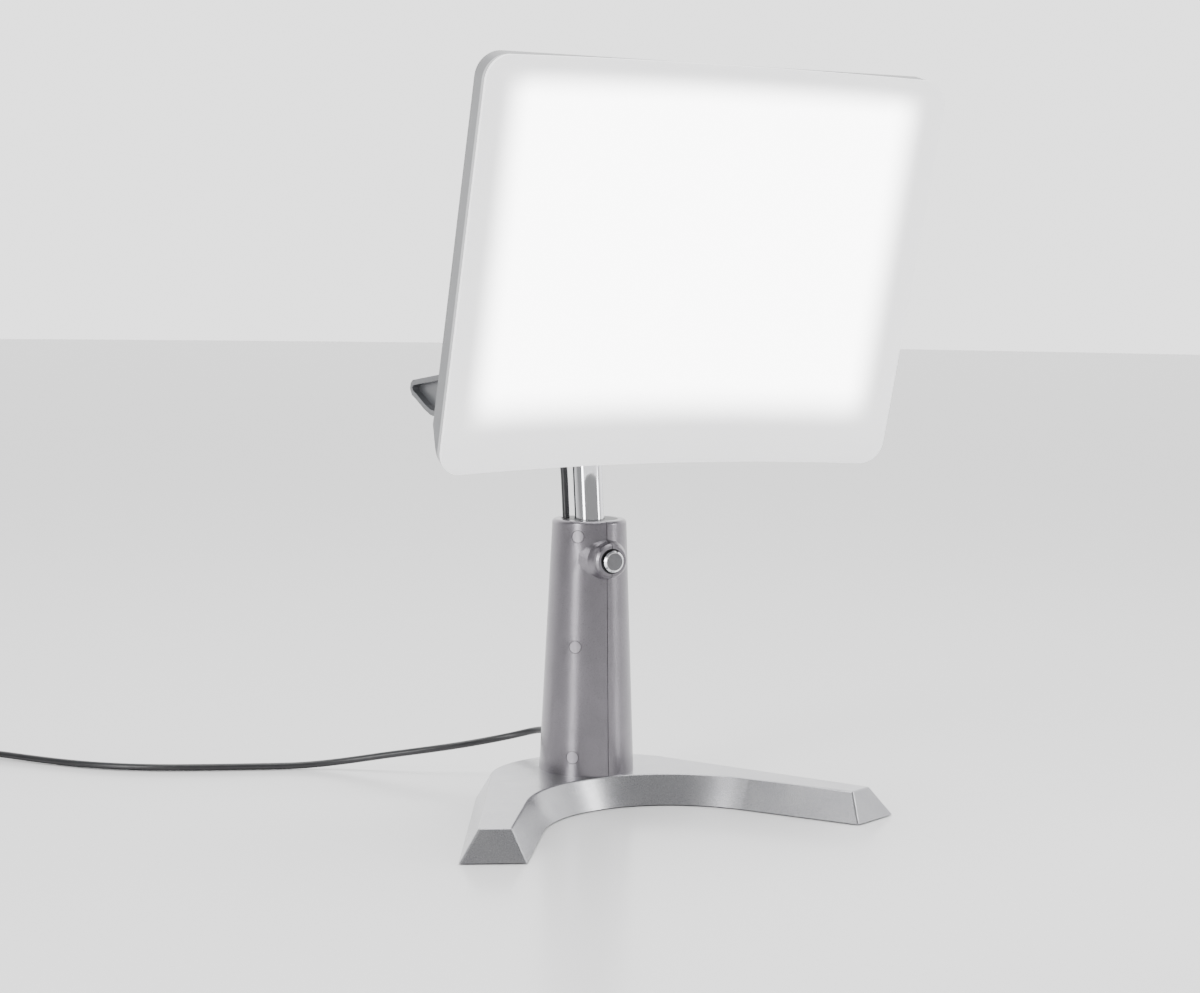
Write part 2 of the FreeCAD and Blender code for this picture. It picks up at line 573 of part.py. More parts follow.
# Height lock: the button's plunger ends in a cone that presses the lock plate's front edge down.
flange_reach = lip_reach - S.face_gap
button = turned("height_button", [
    (ZERO, flange_reach), (S.button_radius, flange_reach),
    (S.button_radius, S.button_reach - S.button_bevel),
    (S.button_radius - S.button_bevel, S.button_reach), (ZERO, S.button_reach)])
keep("height_button", button, Placement(Vector(0, 0, float(S.button_height)), to_front))
plunger = turned("button_plunger", [
    (ZERO, S.plunger_nose_reach), (S.plunger_radius, S.plunger_nose_reach + S.plunger_radius),
    (S.plunger_radius, flange_reach - 2.0), (S.ring_radius - S.side_gap, flange_reach - 2.0),
    (S.ring_radius - S.side_gap, flange_reach), (ZERO, flange_reach)])
keep("button_plunger", plunger, Placement(Vector(0, 0, float(S.button_height)), to_front))
plate_body = plate("lock_plate_blank", [
    (-S.lock_plate_width / 2, -S.lock_front), (S.lock_plate_width / 2, -S.lock_front),
    (S.lock_plate_width / 2, S.lock_waist_ahead), (S.lock_waist, S.lock_waist_behind),
    (S.lock_waist, S.lock_rear), (-S.lock_waist, S.lock_rear), (-S.lock_waist, S.lock_waist_behind),
    (-S.lock_plate_width / 2, S.lock_waist_ahead)],
    S.lock_plate_thick)
plate_hole = rod("lock_plate_hole", S.mast_radius + S.lock_hole_gap, S.lock_plate_thick * 3, ZERO,
                 ZERO, -S.lock_plate_thick)
fulcrum = Vector(0, float(S.lock_rear), -float(lock_below))
lock_frame = mast_frame.multiply(Placement(fulcrum, Rotation(Vector(1, 0, 0), -float(S.lock_tilt))))
lock_frame = lock_frame.multiply(Placement(Vector(0, -float(S.lock_rear), 0), Rotation()))
keep("lock_plate", cut("lock_plate", plate_body, plate_hole), lock_frame)

# Lock spring: holds the plate's front edge up against the cam.
def biarc(start, heading, finish, leaving):
    """Two tangent arcs that join a start and its heading to a finish and its heading."""
    gap = finish - start
    both = heading + leaving
    spare = 2.0 * (1.0 - heading.dot(leaving))
    lean = gap.dot(both)
    reach = (gap.dot(gap) / (2.0 * lean) if spare < 1e-9
             else (-lean + math.sqrt(lean ** 2 + spare * gap.dot(gap))) / spare)
    joint = (start + heading * reach + finish - leaving * reach) * 0.5
    return (bow(start, start + heading * reach, joint),
            bow(joint, finish - leaving * reach, finish))


def bow(start, corner, finish):
    """An arc from start to finish whose end tangents meet at a corner."""
    middle = (start + finish) * 0.5
    half = (finish - start).Length / 2.0
    rise = corner - middle
    if rise.Length < half * 1e-4:
        return Part.LineSegment(start, finish)
    turn = 2.0 * math.atan2(rise.Length, half)
    top = middle + rise * (half * math.tan(turn / 4.0) / rise.Length)
    return Part.Arc(start, top, finish)


def wound_edges(place, turns, per_turn=4):
    """Biarcs through a winding, where place gives the point after a number of turns."""
    count = int(round(turns * per_turn))
    step = 1e-4
    stops = [turns * index / count for index in range(count + 1)]
    points = [place(stop) for stop in stops]
    headings = [(place(stop + step) - place(stop - step)).normalize() for stop in stops]
    curves = []
    for index in range(count):
        curves.extend(biarc(points[index], headings[index], points[index + 1],
                            headings[index + 1]))
    return [curve.toShape() for curve in curves]


def tube(edges, radius):
    """A round tube along a path of tangent edges."""
    path = Part.Wire(edges)
    start = path.Edges[0].valueAt(path.Edges[0].FirstParameter)
    heading = path.Edges[0].tangentAt(path.Edges[0].FirstParameter)
    ring = Part.Wire([Part.makeCircle(radius, start, heading)])
    return path.makePipeShell([ring], True, False)


def least_gap(points, width, apart):
    """The least distance between a winding and itself, less its own width."""
    least = 1e9
    for index, point in enumerate(points):
        for other in points[index + apart:]:
            least = min(least, (point - other).Length)
    return least - width


spring_at = -(float(S.lock_front) + float(S.mast_radius) + float(S.lock_hole_gap)) / 2.0
spring_lift = (float(S.lock_rear) - spring_at) * math.sin(radians(S.lock_tilt))
spring_high = -float(lock_below) + spring_lift - 0.5


def spring_place(turns):
    angle = 2.0 * math.pi * turns
    radius = float(S.lock_spring_radius)
    low = spring_high - float(S.lock_spring_turns) * float(S.lock_spring_pitch)
    low -= float(S.lock_spring_wire) / 2.0
    return Vector(radius * math.cos(angle), spring_at + radius * math.sin(angle),
                  low + float(S.lock_spring_pitch) * turns)


spring = tube(wound_edges(spring_place, float(S.lock_spring_turns)), float(S.lock_spring_wire) / 2)
keep("lock_spring", formed("lock_spring", spring), mast_frame)

# Mast: the polished tube, its lower bush with a key, and the yoke on top.
mast_length = S.mast_below + S.yoke_top - S.side_gap * 6
mast_outer = rod("mast_outer", S.mast_radius, mast_length, ZERO, ZERO, -S.mast_below)
mast_inner = rod("mast_inner", S.mast_radius - S.mast_wall, mast_length * 1.1, ZERO, ZERO,
                 -S.mast_below - 1.0)
keep("mast_tube", cut("mast_tube", mast_outer, mast_inner), mast_frame)
foot_of_mast = -S.mast_below
bush_plug = rod("bush_plug", S.mast_radius - S.mast_wall, S.end_bush_length, ZERO, ZERO,
                foot_of_mast)
bush_rim = rod("bush_rim", S.mast_radius + S.guide_bore_gap - 0.15, S.end_bush_length / 4, ZERO,
               ZERO, foot_of_mast - S.end_bush_length / 4)
bush_key = box("bush_key", S.key_width, S.mast_radius + S.guide_bore_gap + 0.8,
               S.end_bush_length / 4, -S.key_width / 2, ZERO, foot_of_mast - S.end_bush_length / 4)
keep("mast_end_bush", fuse("mast_end_bush", bush_plug, bush_rim, bush_key), mast_frame)

# Yoke: a cross bar on the mast with an arm at each end that reaches forward to the tilt axis.
arm_width = S.arm_width
rise = pivot_rise
tip_low = S.yoke_top - S.bar_drop * 0.6
arm_corners = [
    (-S.pivot_ahead, S.yoke_top), (S.bar_rear * 0.45, S.yoke_top),
    (S.bar_rear * 0.86, S.yoke_top - 2.4), (S.bar_rear, S.yoke_top - 6.6),
    (S.bar_rear * 0.72, tip_low), (S.bar_rear * 0.1, tip_low - 3.4),
    (-S.bar_front * 1.25, S.yoke_top - 25.5), (-S.bar_front * 2.1, S.yoke_top - 30.4),
    (-S.bar_front * 3.2, S.yoke_top - 33.6), (-S.pivot_ahead, rise - S.hub_radius)]


def shrunk(corners, rim):
    """The arm's outline drawn in by its rim, as a ready face in the YZ plane."""
    outline = Part.makePolygon([Vector(0, float(y), float(z)) for y, z in corners + corners[:1]])
    return Part.Face(outline.makeOffset2D(-rim))


arms = []
arm_cuts = []
for side, sign in (("left", -1.0), ("right", 1.0)):
    start = arm_inner if sign > 0 else -arm_outer
    arm = plate("arm_" + side, arm_corners, arm_width, role="YZ_Plane")
    at(arm, start, ZERO, ZERO)
    hub = rod("hub_" + side, S.hub_radius, arm_width, start, -S.pivot_ahead, rise, TURN_TO_X)
    pocket = shrunk(arm_corners, float(S.arm_rim))
    depth = float(S.arm_recess)
    pocket.translate(Vector(sign * (float(arm_outer) - depth), 0, 0))
    pocket_block = formed("pocket_" + side, pocket.extrude(Vector(sign * depth * 2, 0, 0)))
    hub_pocket = rod("hub_pocket_" + side, S.hub_radius - S.arm_rim, S.arm_recess * 2,
                     (arm_outer - S.arm_recess) if sign > 0 else -arm_outer - S.arm_recess,
                     -S.pivot_ahead, rise, TURN_TO_X)
    hub_core = rod("hub_core_" + side, S.bolt_head_radius + 3.0, S.arm_recess - 1.5,
                   (arm_outer - S.arm_recess) if sign > 0 else -arm_outer + 1.5,
                   -S.pivot_ahead, rise, TURN_TO_X)
    bolt_bore = rod("arm_bore_" + side, S.pivot_bolt_radius + S.running_gap, arm_width * 2,
                    start - arm_width / 2, -S.pivot_ahead, rise, TURN_TO_X)
    head_seat = rod("head_seat_" + side, S.bolt_head_radius + S.side_gap, S.arm_recess,
                    (arm_outer - S.bolt_head_thick - 0.5) if sign > 0 else
                    -arm_outer + S.bolt_head_thick + 0.5 - S.arm_recess,
                    -S.pivot_ahead, rise, TURN_TO_X)
    rest_pocket = cut("recess_" + side, fuse("recesses_" + side, pocket_block, hub_pocket), hub_core)
    arms += [arm, hub]
    arm_cuts += [rest_pocket, bolt_bore, head_seat]
bar = box("cross_bar", arm_inner * 2 + 2.0, S.bar_front + S.bar_rear - 2.0, S.bar_drop,
          -arm_inner - 1.0, -S.bar_front, S.yoke_top - S.bar_drop)
bar_soft = doc.addObject("Part::Fillet", "cross_bar_soft")
bar_soft.Base = bar
doc.recompute()
bar_soft.Edges = [(index, 4.0, 4.0) for index, edge in enumerate(bar.Shape.Edges, start=1)
                  if edge.BoundBox.XLength > 10.0]
socket = rod("socket", S.socket_radius, S.socket_drop, ZERO, ZERO, S.yoke_top - S.socket_drop)
socket_bore = rod("socket_bore", S.mast_radius, S.socket_drop, ZERO, ZERO,
                  S.yoke_top - S.socket_drop - 2.4)
clamp_bore = rod("clamp_bore", S.clamp_screw_radius + 0.1, S.socket_radius + 2.0, ZERO, ZERO,
                 S.yoke_top - S.socket_drop + 7.0, TURN_TO_Y)
lead_bore = rod("lead_bore", S.cord_radius + 0.1, S.lead_entry_depth + 1.2, -S.lead_entry, ZERO,
                S.yoke_top - S.bar_drop - 1.0)
grooves = []
for side, start in (("left", -arm_outer + 4.0), ("right", arm_inner + 3.0)):
    for index in range(3):
        grooves.append(box("groove_%s_%d" % (side, index), Size(2.2, "2.2"), S.pivot_ahead - 26.0,
                           S.rib_groove * 2, start + 5.0 * index,
                           -S.pivot_ahead + 14.0, S.yoke_top - S.rib_groove))
yoke_solid = fuse("yoke_solid", bar_soft, socket, *arms)
keep("yoke", cut("yoke", yoke_solid, socket_bore, clamp_bore, lead_bore, *(arm_cuts + grooves)), mast_frame)
screw_body = rod("clamp_screw_body", S.clamp_screw_radius, S.socket_radius - S.mast_radius + 1.0, ZERO,
                 S.mast_radius, S.yoke_top - S.socket_drop + 7.0, TURN_TO_Y)
screw_head = rod("clamp_screw_head", S.clamp_head_radius, Size(3.0, "3"), ZERO,
                 S.socket_radius, S.yoke_top - S.socket_drop + 7.0, TURN_TO_Y)
keep("clamp_screw", fuse("clamp_screw", screw_body, screw_head), mast_frame)

# Light panel. In the head's frame Y runs back along the panel's normal and Z runs up the panel.
face = -float(S.face_ahead)
low = -float(S.bottom_below)
high = low + float(S.panel_height)
half_wide = float(S.panel_width) / 2.0


def rounded(inset, depth, radius, lift=0.0):
    """The panel's outline, drawn in by inset and lifted at its bottom, at a depth from the face."""
    left, right = -half_wide + inset, half_wide - inset
    bottom, top = low + inset + lift, high - inset
    y = face + depth
    curve = radius * (1.0 - math.sqrt(0.5))
    edges = []
    corners = ((right, top, 1, 1), (left, top, -1, 1), (left, bottom, -1, -1), (right, bottom, 1, -1))
    for index, (x, z, toward_x, toward_z) in enumerate(corners):
        along_x = Vector(x - toward_x * radius, y, z)
        along_z = Vector(x, y, z - toward_z * radius)
        middle = Vector(x - toward_x * curve, y, z - toward_z * curve)
        first, last = (along_z, along_x) if index % 2 == 0 else (along_x, along_z)
        edges.append(Part.Arc(first, middle, last).toShape())
        following = corners[(index + 1) % 4]
        if index % 2 == 0:
            end = Vector(following[0] - following[2] * radius, y, following[1])
        else:
            end = Vector(following[0], y, following[1] - following[3] * radius)
        edges.append(Part.LineSegment(last, end).toShape())
    return Part.Wire(edges)


def slab(inset, start, depth, radius):
    """A rounded block from one depth to another."""
    return Part.Face(rounded(inset, start, radius)).extrude(Vector(0, depth - start, 0))


def hollow_round(extra):
    """The upright cylinder whose surface is the panel's hollow face, grown by extra."""
    sag = float(S.face_hollow)
    radius = (half_wide ** 2 + sag ** 2) / (2.0 * sag)
    return Part.makeCylinder(radius + extra, (high - low) * 2.0,
                             Vector(0, face + sag - radius, low - (high - low) / 2.0))


corner = float(S.corner_radius)
wall = float(S.shell_wall)
pan = float(S.pan_depth)
rim = float(S.rim_depth)
inset_back = float(S.pan_inset)


def bevel_wedge(offset):
    """What the slope along the bottom edge takes away, shifted inward by offset."""
    slope = Vector(0, rim - float(S.bevel_depth), float(S.bevel_rise) - float(S.bevel_up))
    inward = Vector(0, -slope.z, slope.y).normalize() * offset
    start = Vector(-half_wide * 1.5, face + float(S.bevel_depth), low + float(S.bevel_up)) + inward
    away = Vector(0, float(S.housing_depth), -float(S.panel_height))
    points = [start - slope * 2.0, start + slope * 1.2, start + slope * 1.2 + away,
              start - slope * 2.0 + away]
    return polygon_face(points).extrude(Vector(half_wide * 3.0, 0, 0))


def pan_block(shift):
    """The shallow part of the rear shell, outside when shift is 0 and inside when it is the wall."""
    band = slab(shift, -1.0, rim, corner - shift)
    lift = float(S.bevel_rise)
    back = Part.makeLoft([rounded(shift, rim, corner - shift, lift),
                          rounded(inset_back + shift * 0.6, pan - shift, corner - shift,
                                  lift * 0.5)], True, True)
    return band.cut(bevel_wedge(shift)).fuse(back)


housing_half = float(S.housing_half)
housing_back = face + float(S.housing_depth)


def housing_block(shift):
    """The deep part that holds the gear, with its edges rounded."""
    bottom, top = -float(S.housing_low) + shift, float(S.housing_high) - shift
    front = face + pan - 6.0 + shift
    block = Part.makeBox(2.0 * (housing_half - shift), housing_back - shift - front, top - bottom,
                         Vector(-housing_half + shift, front, bottom))
    round_edges = [edge for edge in block.Edges
                   if edge.BoundBox.YMax > housing_back - shift - 0.01 or edge.BoundBox.YLength > 5]
    return block.makeFillet(float(S.housing_round) - shift, round_edges)


shell_outer = pan_block(0.0).fuse(housing_block(0.0))
passage = Part.makeBox(housing_half * 1.8, wall * 6.0, float(S.housing_high) - 34.0,
                       Vector(-housing_half * 0.9, face + pan - wall * 4.0, 22.0))
shell_inner = pan_block(wall).fuse(housing_block(wall)).fuse(passage)
front_cut = hollow_round(float(S.cover_wall))
shell_solid = formed("shell_solid", shell_outer.cut(shell_inner).cut(front_cut))
hinge_bosses = []
boss_bores = []
for side, sign in (("left", -1.0), ("right", 1.0)):
    boss_length = arm_inner - S.washer_thick - S.face_gap - S.housing_half + S.boss_inset
    boss_start = (S.housing_half - S.boss_inset) if sign > 0 else -arm_inner + S.washer_thick + S.face_gap
    hinge_bosses.append(rod("hinge_boss_" + side, S.hinge_boss_radius, boss_length, boss_start, ZERO,
                            ZERO, TURN_TO_X))
    boss_bores.append(rod("hinge_bore_" + side, S.pivot_bolt_radius, arm_inner, S.housing_half * 0.8
                          if sign > 0 else -S.housing_half * 0.8 - arm_inner, ZERO, ZERO,
                          TURN_TO_X))
screw_spots = []
for across in (-1.0, 1.0):
    for up in (0.17, 0.5, 0.93):
        screw_spots.append((across * (half_wide - inset_back - 14.0), low + (high - low) * up))
    screw_spots.append((across * 60.0, high - inset_back - 14.0))
posts_inside = []
post_bores = []
head_screw_parts = []
for index, (x, z) in enumerate(screw_spots):
    front_at = face + float(S.face_hollow) * (1.0 - (x / half_wide) ** 2) + float(S.cover_wall) + 2.5
    length = face + pan - 2.0 - front_at
    posts_inside.append(rod("screw_post_%d" % index, S.screw_post_radius, Size(length, repr(length)),
                            x, front_at, z, TURN_TO_Y))
    post_bores.append(rod("post_bore_%d" % index, S.head_screw_radius, S.pan_depth, x,
                          face + 12.0, z, TURN_TO_Y))
    post_bores.append(rod("post_sink_%d" % index, S.head_screw_radius * 2 + 0.2, S.pan_depth, x,
                          -S.face_ahead + S.pan_depth - 1.4, z, TURN_TO_Y))
    head = rod("head_screw_cap_%d" % index, S.head_screw_radius * 2, Size(1.8, "1.8"), x,
               -S.face_ahead + S.pan_depth - 1.4, z, TURN_TO_Y)
    shank = rod("head_screw_shank_%d" % index, S.head_screw_radius, Size(12.0, "12"), x,
                -S.face_ahead + S.pan_depth - 13.0, z, TURN_TO_Y)
    head_screw_parts.append(fuse("head_screw_%d" % index, head, shank))
vents = []
for index in range(int(float(S.vent_count))):
    for column, centre in enumerate((-1.0, 1.0)):
        vents.append(box("vent_%d_%d" % (index, column), S.vent_length, S.pan_depth,
                         S.vent_width, S.vent_length * (-0.5 + centre * 0.56), -S.face_ahead + 30.0,
                         S.vent_start + S.vent_pitch * index))
switch_hole = box("switch_hole", S.switch_length, S.housing_depth, S.switch_height,
                  S.switch_across - S.switch_length / 2, ZERO, S.switch_up - S.switch_height / 2)
posts_trimmed = common("posts_trimmed", fuse("posts_inside", *posts_inside),
                       formed("pan_outside", pan_block(0.0)))
keep("rear_shell", cut("rear_shell", fuse("shell_all", shell_solid, posts_trimmed, *hinge_bosses),
                       switch_hole, *(boss_bores + post_bores + vents)), head_frame)
keep("head_screws", group("head_screws", *head_screw_parts), head_frame)

# Front cover: one white moulding, hollow across its width, that fills the shell's mouth.
cover_outer = slab(0.0, 0.0, rim, corner)
cover_shell = cover_outer.cut(hollow_round(0.0)).common(hollow_round(float(S.cover_wall)))
spigot = slab(wall + 0.25, 0.0, rim - 1.0, corner - wall).cut(slab(wall + 2.25, -1.0, rim, corner - wall - 2))
spigot = spigot.cut(hollow_round(float(S.cover_wall) - 0.5)).common(hollow_round(9.0))
spigot = spigot.cut(bevel_wedge(wall + 0.3))
cover_all = cover_shell.fuse(spigot)
keep("front_cover", formed("front_cover", cover_all), head_frame)

# Reflector tray behind the lamps.
tray_x = half_wide - float(S.reflector_margin) - 6.0
tray_low, tray_high = low + float(S.bevel_rise) + 8.0, high - float(S.reflector_margin)
tray_back = face + pan - wall - 0.3
tray_wall = float(S.reflector_wall)


def tray(grow, front):
    """The tray's block, grown outward by its wall."""
    back = tray_back - (0.0 if grow else tray_wall)
    lower = [Vector(x, back, z) for x, z in (
        (-tray_x + 14 - grow, tray_low + 14 - grow), (tray_x - 14 + grow, tray_low + 14 - grow),
        (tray_x - 14 + grow, tray_high - 14 + grow), (-tray_x + 14 - grow, tray_high - 14 + grow))]
    upper = [Vector(x, front, z) for x, z in (
        (-tray_x - grow, tray_low - grow), (tray_x + grow, tray_low - grow),
        (tray_x + grow, tray_high + grow), (-tray_x - grow, tray_high + grow))]
    rings = [Part.makePolygon(ring + ring[:1]) for ring in (upper, lower)]
    return Part.makeLoft(rings, True, True)


tray_front = face + 15.0
tray_solid = tray(tray_wall, tray_front).cut(tray(0.0, tray_front - 0.01))
tray_solid = tray_solid.cut(hollow_round(float(S.cover_wall) + 1.5))
tray_block = formed("tray_block", tray_solid)
tray_clear = [rod("tray_clear_%d" % index, S.screw_post_radius + 1.0, S.pan_depth, x, -S.face_ahead, z,
                  TURN_TO_Y) for index, (x, z) in enumerate(screw_spots)]
keep("reflector", cut("reflector", tray_block, *tray_clear), head_frame)

# Three long twin-tube lamps, each with its base in a lampholder and a clip near its far end.
bases = []
holders = []
clips = []
tube_y = -S.face_ahead + S.tube_depth
tube_length = S.panel_width - S.lamp_ends
lamp_start = S.panel_width / 2 - S.lamp_margin
for index in range(3):
    up = -S.bottom_below + S.lamp_first + S.lamp_pitch * index
    start = -lamp_start + S.base_length
    legs = []
    for leg, shift in enumerate((-0.5, 0.5)):
        legs.append(rod("leg_%d_%d" % (index, leg), S.tube_radius, tube_length,
                        start, tube_y, up + S.tube_spacing * shift, TURN_TO_X))
        cap = doc.addObject("Part::Sphere", "leg_end_%d_%d" % (index, leg))
        bind(cap, "Radius", S.tube_radius)
        at(cap, start + tube_length, tube_y, up + S.tube_spacing * shift)
        legs.append(cap)
    bridge = rod("bridge_%d" % index, S.tube_radius * 0.6, S.tube_spacing, start + tube_length
                 - S.tube_radius * 1.2, tube_y, up - S.tube_spacing / 2)
    keep("lamp_%d" % (index + 1), fuse("lamp_%d" % (index + 1), bridge, *legs), head_frame)
    bases.append(box("base_%d" % index, S.base_length, S.base_depth, S.base_height, -lamp_start,
                     tube_y - S.base_depth / 2, up - S.base_height / 2))
    holders.append(box("holder_%d" % index, S.holder_length, S.base_depth, S.base_height - 4.0,
                       -lamp_start - S.holder_length, tube_y - S.base_depth / 2 + 0.8,
                       up - S.base_height / 2 + 2.0))
    clip = box("clip_block_%d" % index, S.clip_width, S.clip_depth, S.tube_spacing * 1.5,
               start + tube_length * 0.82, tube_y + 0.2, up - S.tube_spacing * 0.75)
    rooms = [rod("clip_room_%d_%d" % (index, leg), S.tube_radius + 0.2, S.clip_width * 3,
                 start + tube_length * 0.82 - S.clip_width, tube_y, up + S.tube_spacing * shift,
                 TURN_TO_X) for leg, shift in enumerate((-0.5, 0.5))]
    clips.append(cut("clip_%d" % index, clip, *rooms))
keep("lamp_bases", group("lamp_bases", *bases), head_frame)
keep("lampholders", group("lampholders", *holders), head_frame)
keep("lamp_clips", group("lamp_clips", *clips), head_frame)

# Ballast and hinge brackets in the deep housing.
gear_floor = -S.face_ahead + S.housing_depth - S.shell_wall
ballast_case = box("ballast_case", S.ballast_length, S.ballast_depth, S.ballast_height,
                   -S.ballast_length / 2, gear_floor - S.ballast_depth - 2.0, S.ballast_up)
ballast_ends = [box("ballast_end_%d" % index, Size(7.0, "7"), S.ballast_depth * 0.6,
                    S.ballast_height * 0.7, start, gear_floor - S.ballast_depth * 0.8,
                    S.ballast_up + S.ballast_height * 0.15)
                for index, start in enumerate((S.ballast_length / 2, -S.ballast_length / 2 - 7.0))]
keep("ballast", fuse("ballast", ballast_case, *ballast_ends), head_frame)
feet = []
for index in range(4):
    across = S.ballast_length * (-0.42 if index % 2 else 0.42)
    up = S.ballast_up + S.ballast_height * (0.2 if index < 2 else 0.8)
    feet.append(rod("ballast_foot_%d" % index, S.screw_post_radius, Size(2.0, "2"), across,
                    gear_floor - 2.0, up, TURN_TO_Y))
keep("ballast_feet", group("ballast_feet", *feet), head_frame)
boss_inner = S.housing_half - S.boss_inset
bracket_start = boss_inner - S.bracket_thick - S.face_gap
brackets = []
bolts = []
washers = []
nuts = []
for side, sign in (("left", -1.0), ("right", 1.0)):
    def place(start, length):
        """The low end of a piece that starts at a distance from the middle and runs outward."""
        return start if sign > 0 else -start - length

    inner_plate = box("bracket_plate_" + side, S.bracket_thick, S.bracket_length * 0.5,
                      S.bracket_height, place(bracket_start, S.bracket_thick),
                      -S.bracket_length * 0.25, -S.bracket_height * 0.45)
    hole = rod("bracket_hole_" + side, S.pivot_bolt_radius, S.bracket_thick * 5,
               place(bracket_start - S.bracket_thick * 2, S.bracket_thick * 5), ZERO, ZERO, TURN_TO_X)
    brackets.append(cut("bracket_" + side, inner_plate, hole))
    shank_start = bracket_start - S.nut_thick - 2.0
    shank_length = arm_outer - S.bolt_head_thick - 0.5 - shank_start
    shank = rod("bolt_shank_" + side, S.pivot_bolt_radius, shank_length,
                place(shank_start, shank_length), ZERO, ZERO, TURN_TO_X)
    head_start = arm_outer - S.bolt_head_thick - 0.5 + S.face_gap
    head = rod("bolt_cap_" + side, S.bolt_head_radius, S.bolt_head_thick - 1.2,
               place(head_start, S.bolt_head_thick - 1.2), ZERO, ZERO, TURN_TO_X)
    neck = rod("bolt_neck_" + side, S.pivot_bolt_radius, Size(1.0, "1"),
               place(head_start - 0.5, Size(1.0, "1")), ZERO, ZERO, TURN_TO_X)
    bolts.append(fuse("pivot_bolt_" + side, shank, neck, head))
    ring = rod("washer_ring_" + side, S.washer_radius, S.washer_thick,
               place(arm_inner - S.washer_thick - S.face_gap, S.washer_thick), ZERO, ZERO,
               TURN_TO_X)
    ring_hole = rod("washer_hole_" + side, S.pivot_bolt_radius + 0.1, S.washer_thick * 4,
                    place(arm_inner - S.washer_thick * 3, S.washer_thick * 4), ZERO, ZERO,
                    TURN_TO_X)
    washers.append(cut("washer_" + side, ring, ring_hole))
    nut_block = doc.addObject("Part::Prism", "nut_block_" + side)
    nut_block.Polygon = 6
    bind(nut_block, "Circumradius", S.nut_radius)
    bind(nut_block, "Height", S.nut_thick)
    at(nut_block, place(shank_start + 2.0, S.nut_thick), ZERO, ZERO, TURN_TO_X)
    nut_hole = rod("nut_hole_" + side, S.pivot_bolt_radius, S.nut_thick * 3,
                   place(shank_start, S.nut_thick * 3), ZERO, ZERO, TURN_TO_X)
    nuts.append(cut("nut_" + side, nut_block, nut_hole))
keep("hinge_brackets", group("hinge_brackets", *brackets), head_frame)
keep("pivot_bolts", group("pivot_bolts", *bolts), head_frame)
keep("friction_washers", group("friction_washers", *washers), head_frame)
keep("pivot_nuts", group("pivot_nuts", *nuts), head_frame)

# Power switch on the housing's back: a frame with a body inside, and the rocker that pivots in it.
back_face = -S.face_ahead + S.housing_depth
frame_block = box("frame_block", S.switch_length + S.switch_frame * 2, S.switch_frame,
                  S.switch_height + S.switch_frame * 2,
                  S.switch_across - S.switch_length / 2 - S.switch_frame, back_face,
                  S.switch_up - S.switch_height / 2 - S.switch_frame)
body_block = box("switch_body", S.switch_length - 0.3, S.switch_body_depth,
                 S.switch_height - 0.3, S.switch_across - S.switch_length / 2 + 0.15,
                 back_face - S.switch_body_depth, S.switch_up - S.switch_height / 2 + 0.15)
rocker_room = box("rocker_room", S.switch_length - 2.6, S.switch_body_depth, S.switch_height - 3.0,
                  S.switch_across - S.switch_length / 2 + 1.3, back_face - 7.0,
                  S.switch_up - S.switch_height / 2 + 1.5)
rocker_long = S.switch_length - 5.6
keep("switch_frame", cut("switch_frame", fuse("switch_solid", frame_block, body_block), rocker_room),
     head_frame)
rocker_round = rod("rocker_round", rocker_long * 0.75, S.switch_height - 4.0, S.switch_across,
                   back_face - rocker_long * 0.75 + 3.2, S.switch_up - (S.switch_height - 4.0) / 2)
rocker_block = box("rocker_block", rocker_long, Size(7.0, "7"), S.switch_height - 4.0,
                   S.switch_across - rocker_long / 2, back_face - 3.0,
                   S.switch_up - (S.switch_height - 4.0) / 2)
keep("rocker", common("rocker", rocker_round, rocker_block), head_frame)

# Cords. A route is straight runs joined by tangent arcs, from points chosen by hand.
def route_edges(name, points):
    """Runs and arcs through a route's points: each arc as large as its two runs allow."""
    spots = [Vector(*point) for point in points]
    edges = []
    start = spots[0]
    radii = []
    for before, here, after in zip(spots, spots[1:], spots[2:]):
        back, ahead = before - here, after - here
        half_turn = (math.pi - back.getAngle(ahead)) / 2.0
        shorter = min(back.Length, ahead.Length)
        radius = 0.45 * shorter / math.tan(half_turn)
        radii.append(radius)
        cut_back = 0.45 * shorter
        first = here + back.normalize() * cut_back
        last = here + ahead.normalize() * cut_back
        edges.append(Part.LineSegment(start, first).toShape())
        edges.append(bow(first, here, last).toShape())
        start = last
    edges.append(Part.LineSegment(start, spots[-1]).toShape())
    print(name, "arc radii", [round(radius, 1) for radius in radii])
    return edges


def check_volume(name, solid, edges, radius):
    length = sum(edge.Length for edge in edges)
    print(name, "length", round(length, 1), "volume over section times length",
          round(solid.Volume / (math.pi * radius ** 2 * length), 4))


cord = float(S.cord_radius)
left, behind = float(S.lead_left), float(S.lead_behind)
bar_under = float(S.yoke_top) - float(S.bar_drop)
lead_low = -100.0
entry = float(S.lead_entry)
lead_points = [(-left, behind, lead_low), (-left, behind, 44.0), (-left - 3.0, behind - 2.4, 62.0),
               (-entry, 0.0, 78.0), (-entry, 0.0, bar_under + float(S.lead_entry_depth))]
lead_edges = route_edges("lamp lead", lead_points)
lead_solid = tube(lead_edges, cord)
check_volume("lamp lead", lead_solid, lead_edges, cord)
keep("lamp_lead", formed("lamp_lead", lead_solid), mast_frame)
grommet = turned("lead_grommet_ring", [
    (S.cord_radius + 0.1, -S.bar_drop * 0.1), (S.cord_radius + 3.2, -S.bar_drop * 0.1),
    (S.cord_radius + 3.2, ZERO), (S.cord_radius + 0.1, ZERO)])
keep("lead_grommet", grommet, mast_frame.multiply(
    Placement(Vector(-entry, 0, bar_under), Rotation())))
gland_left = float(S.lead_left) * 0.2
gland_start = float(S.column_foot_radius) - 8.0
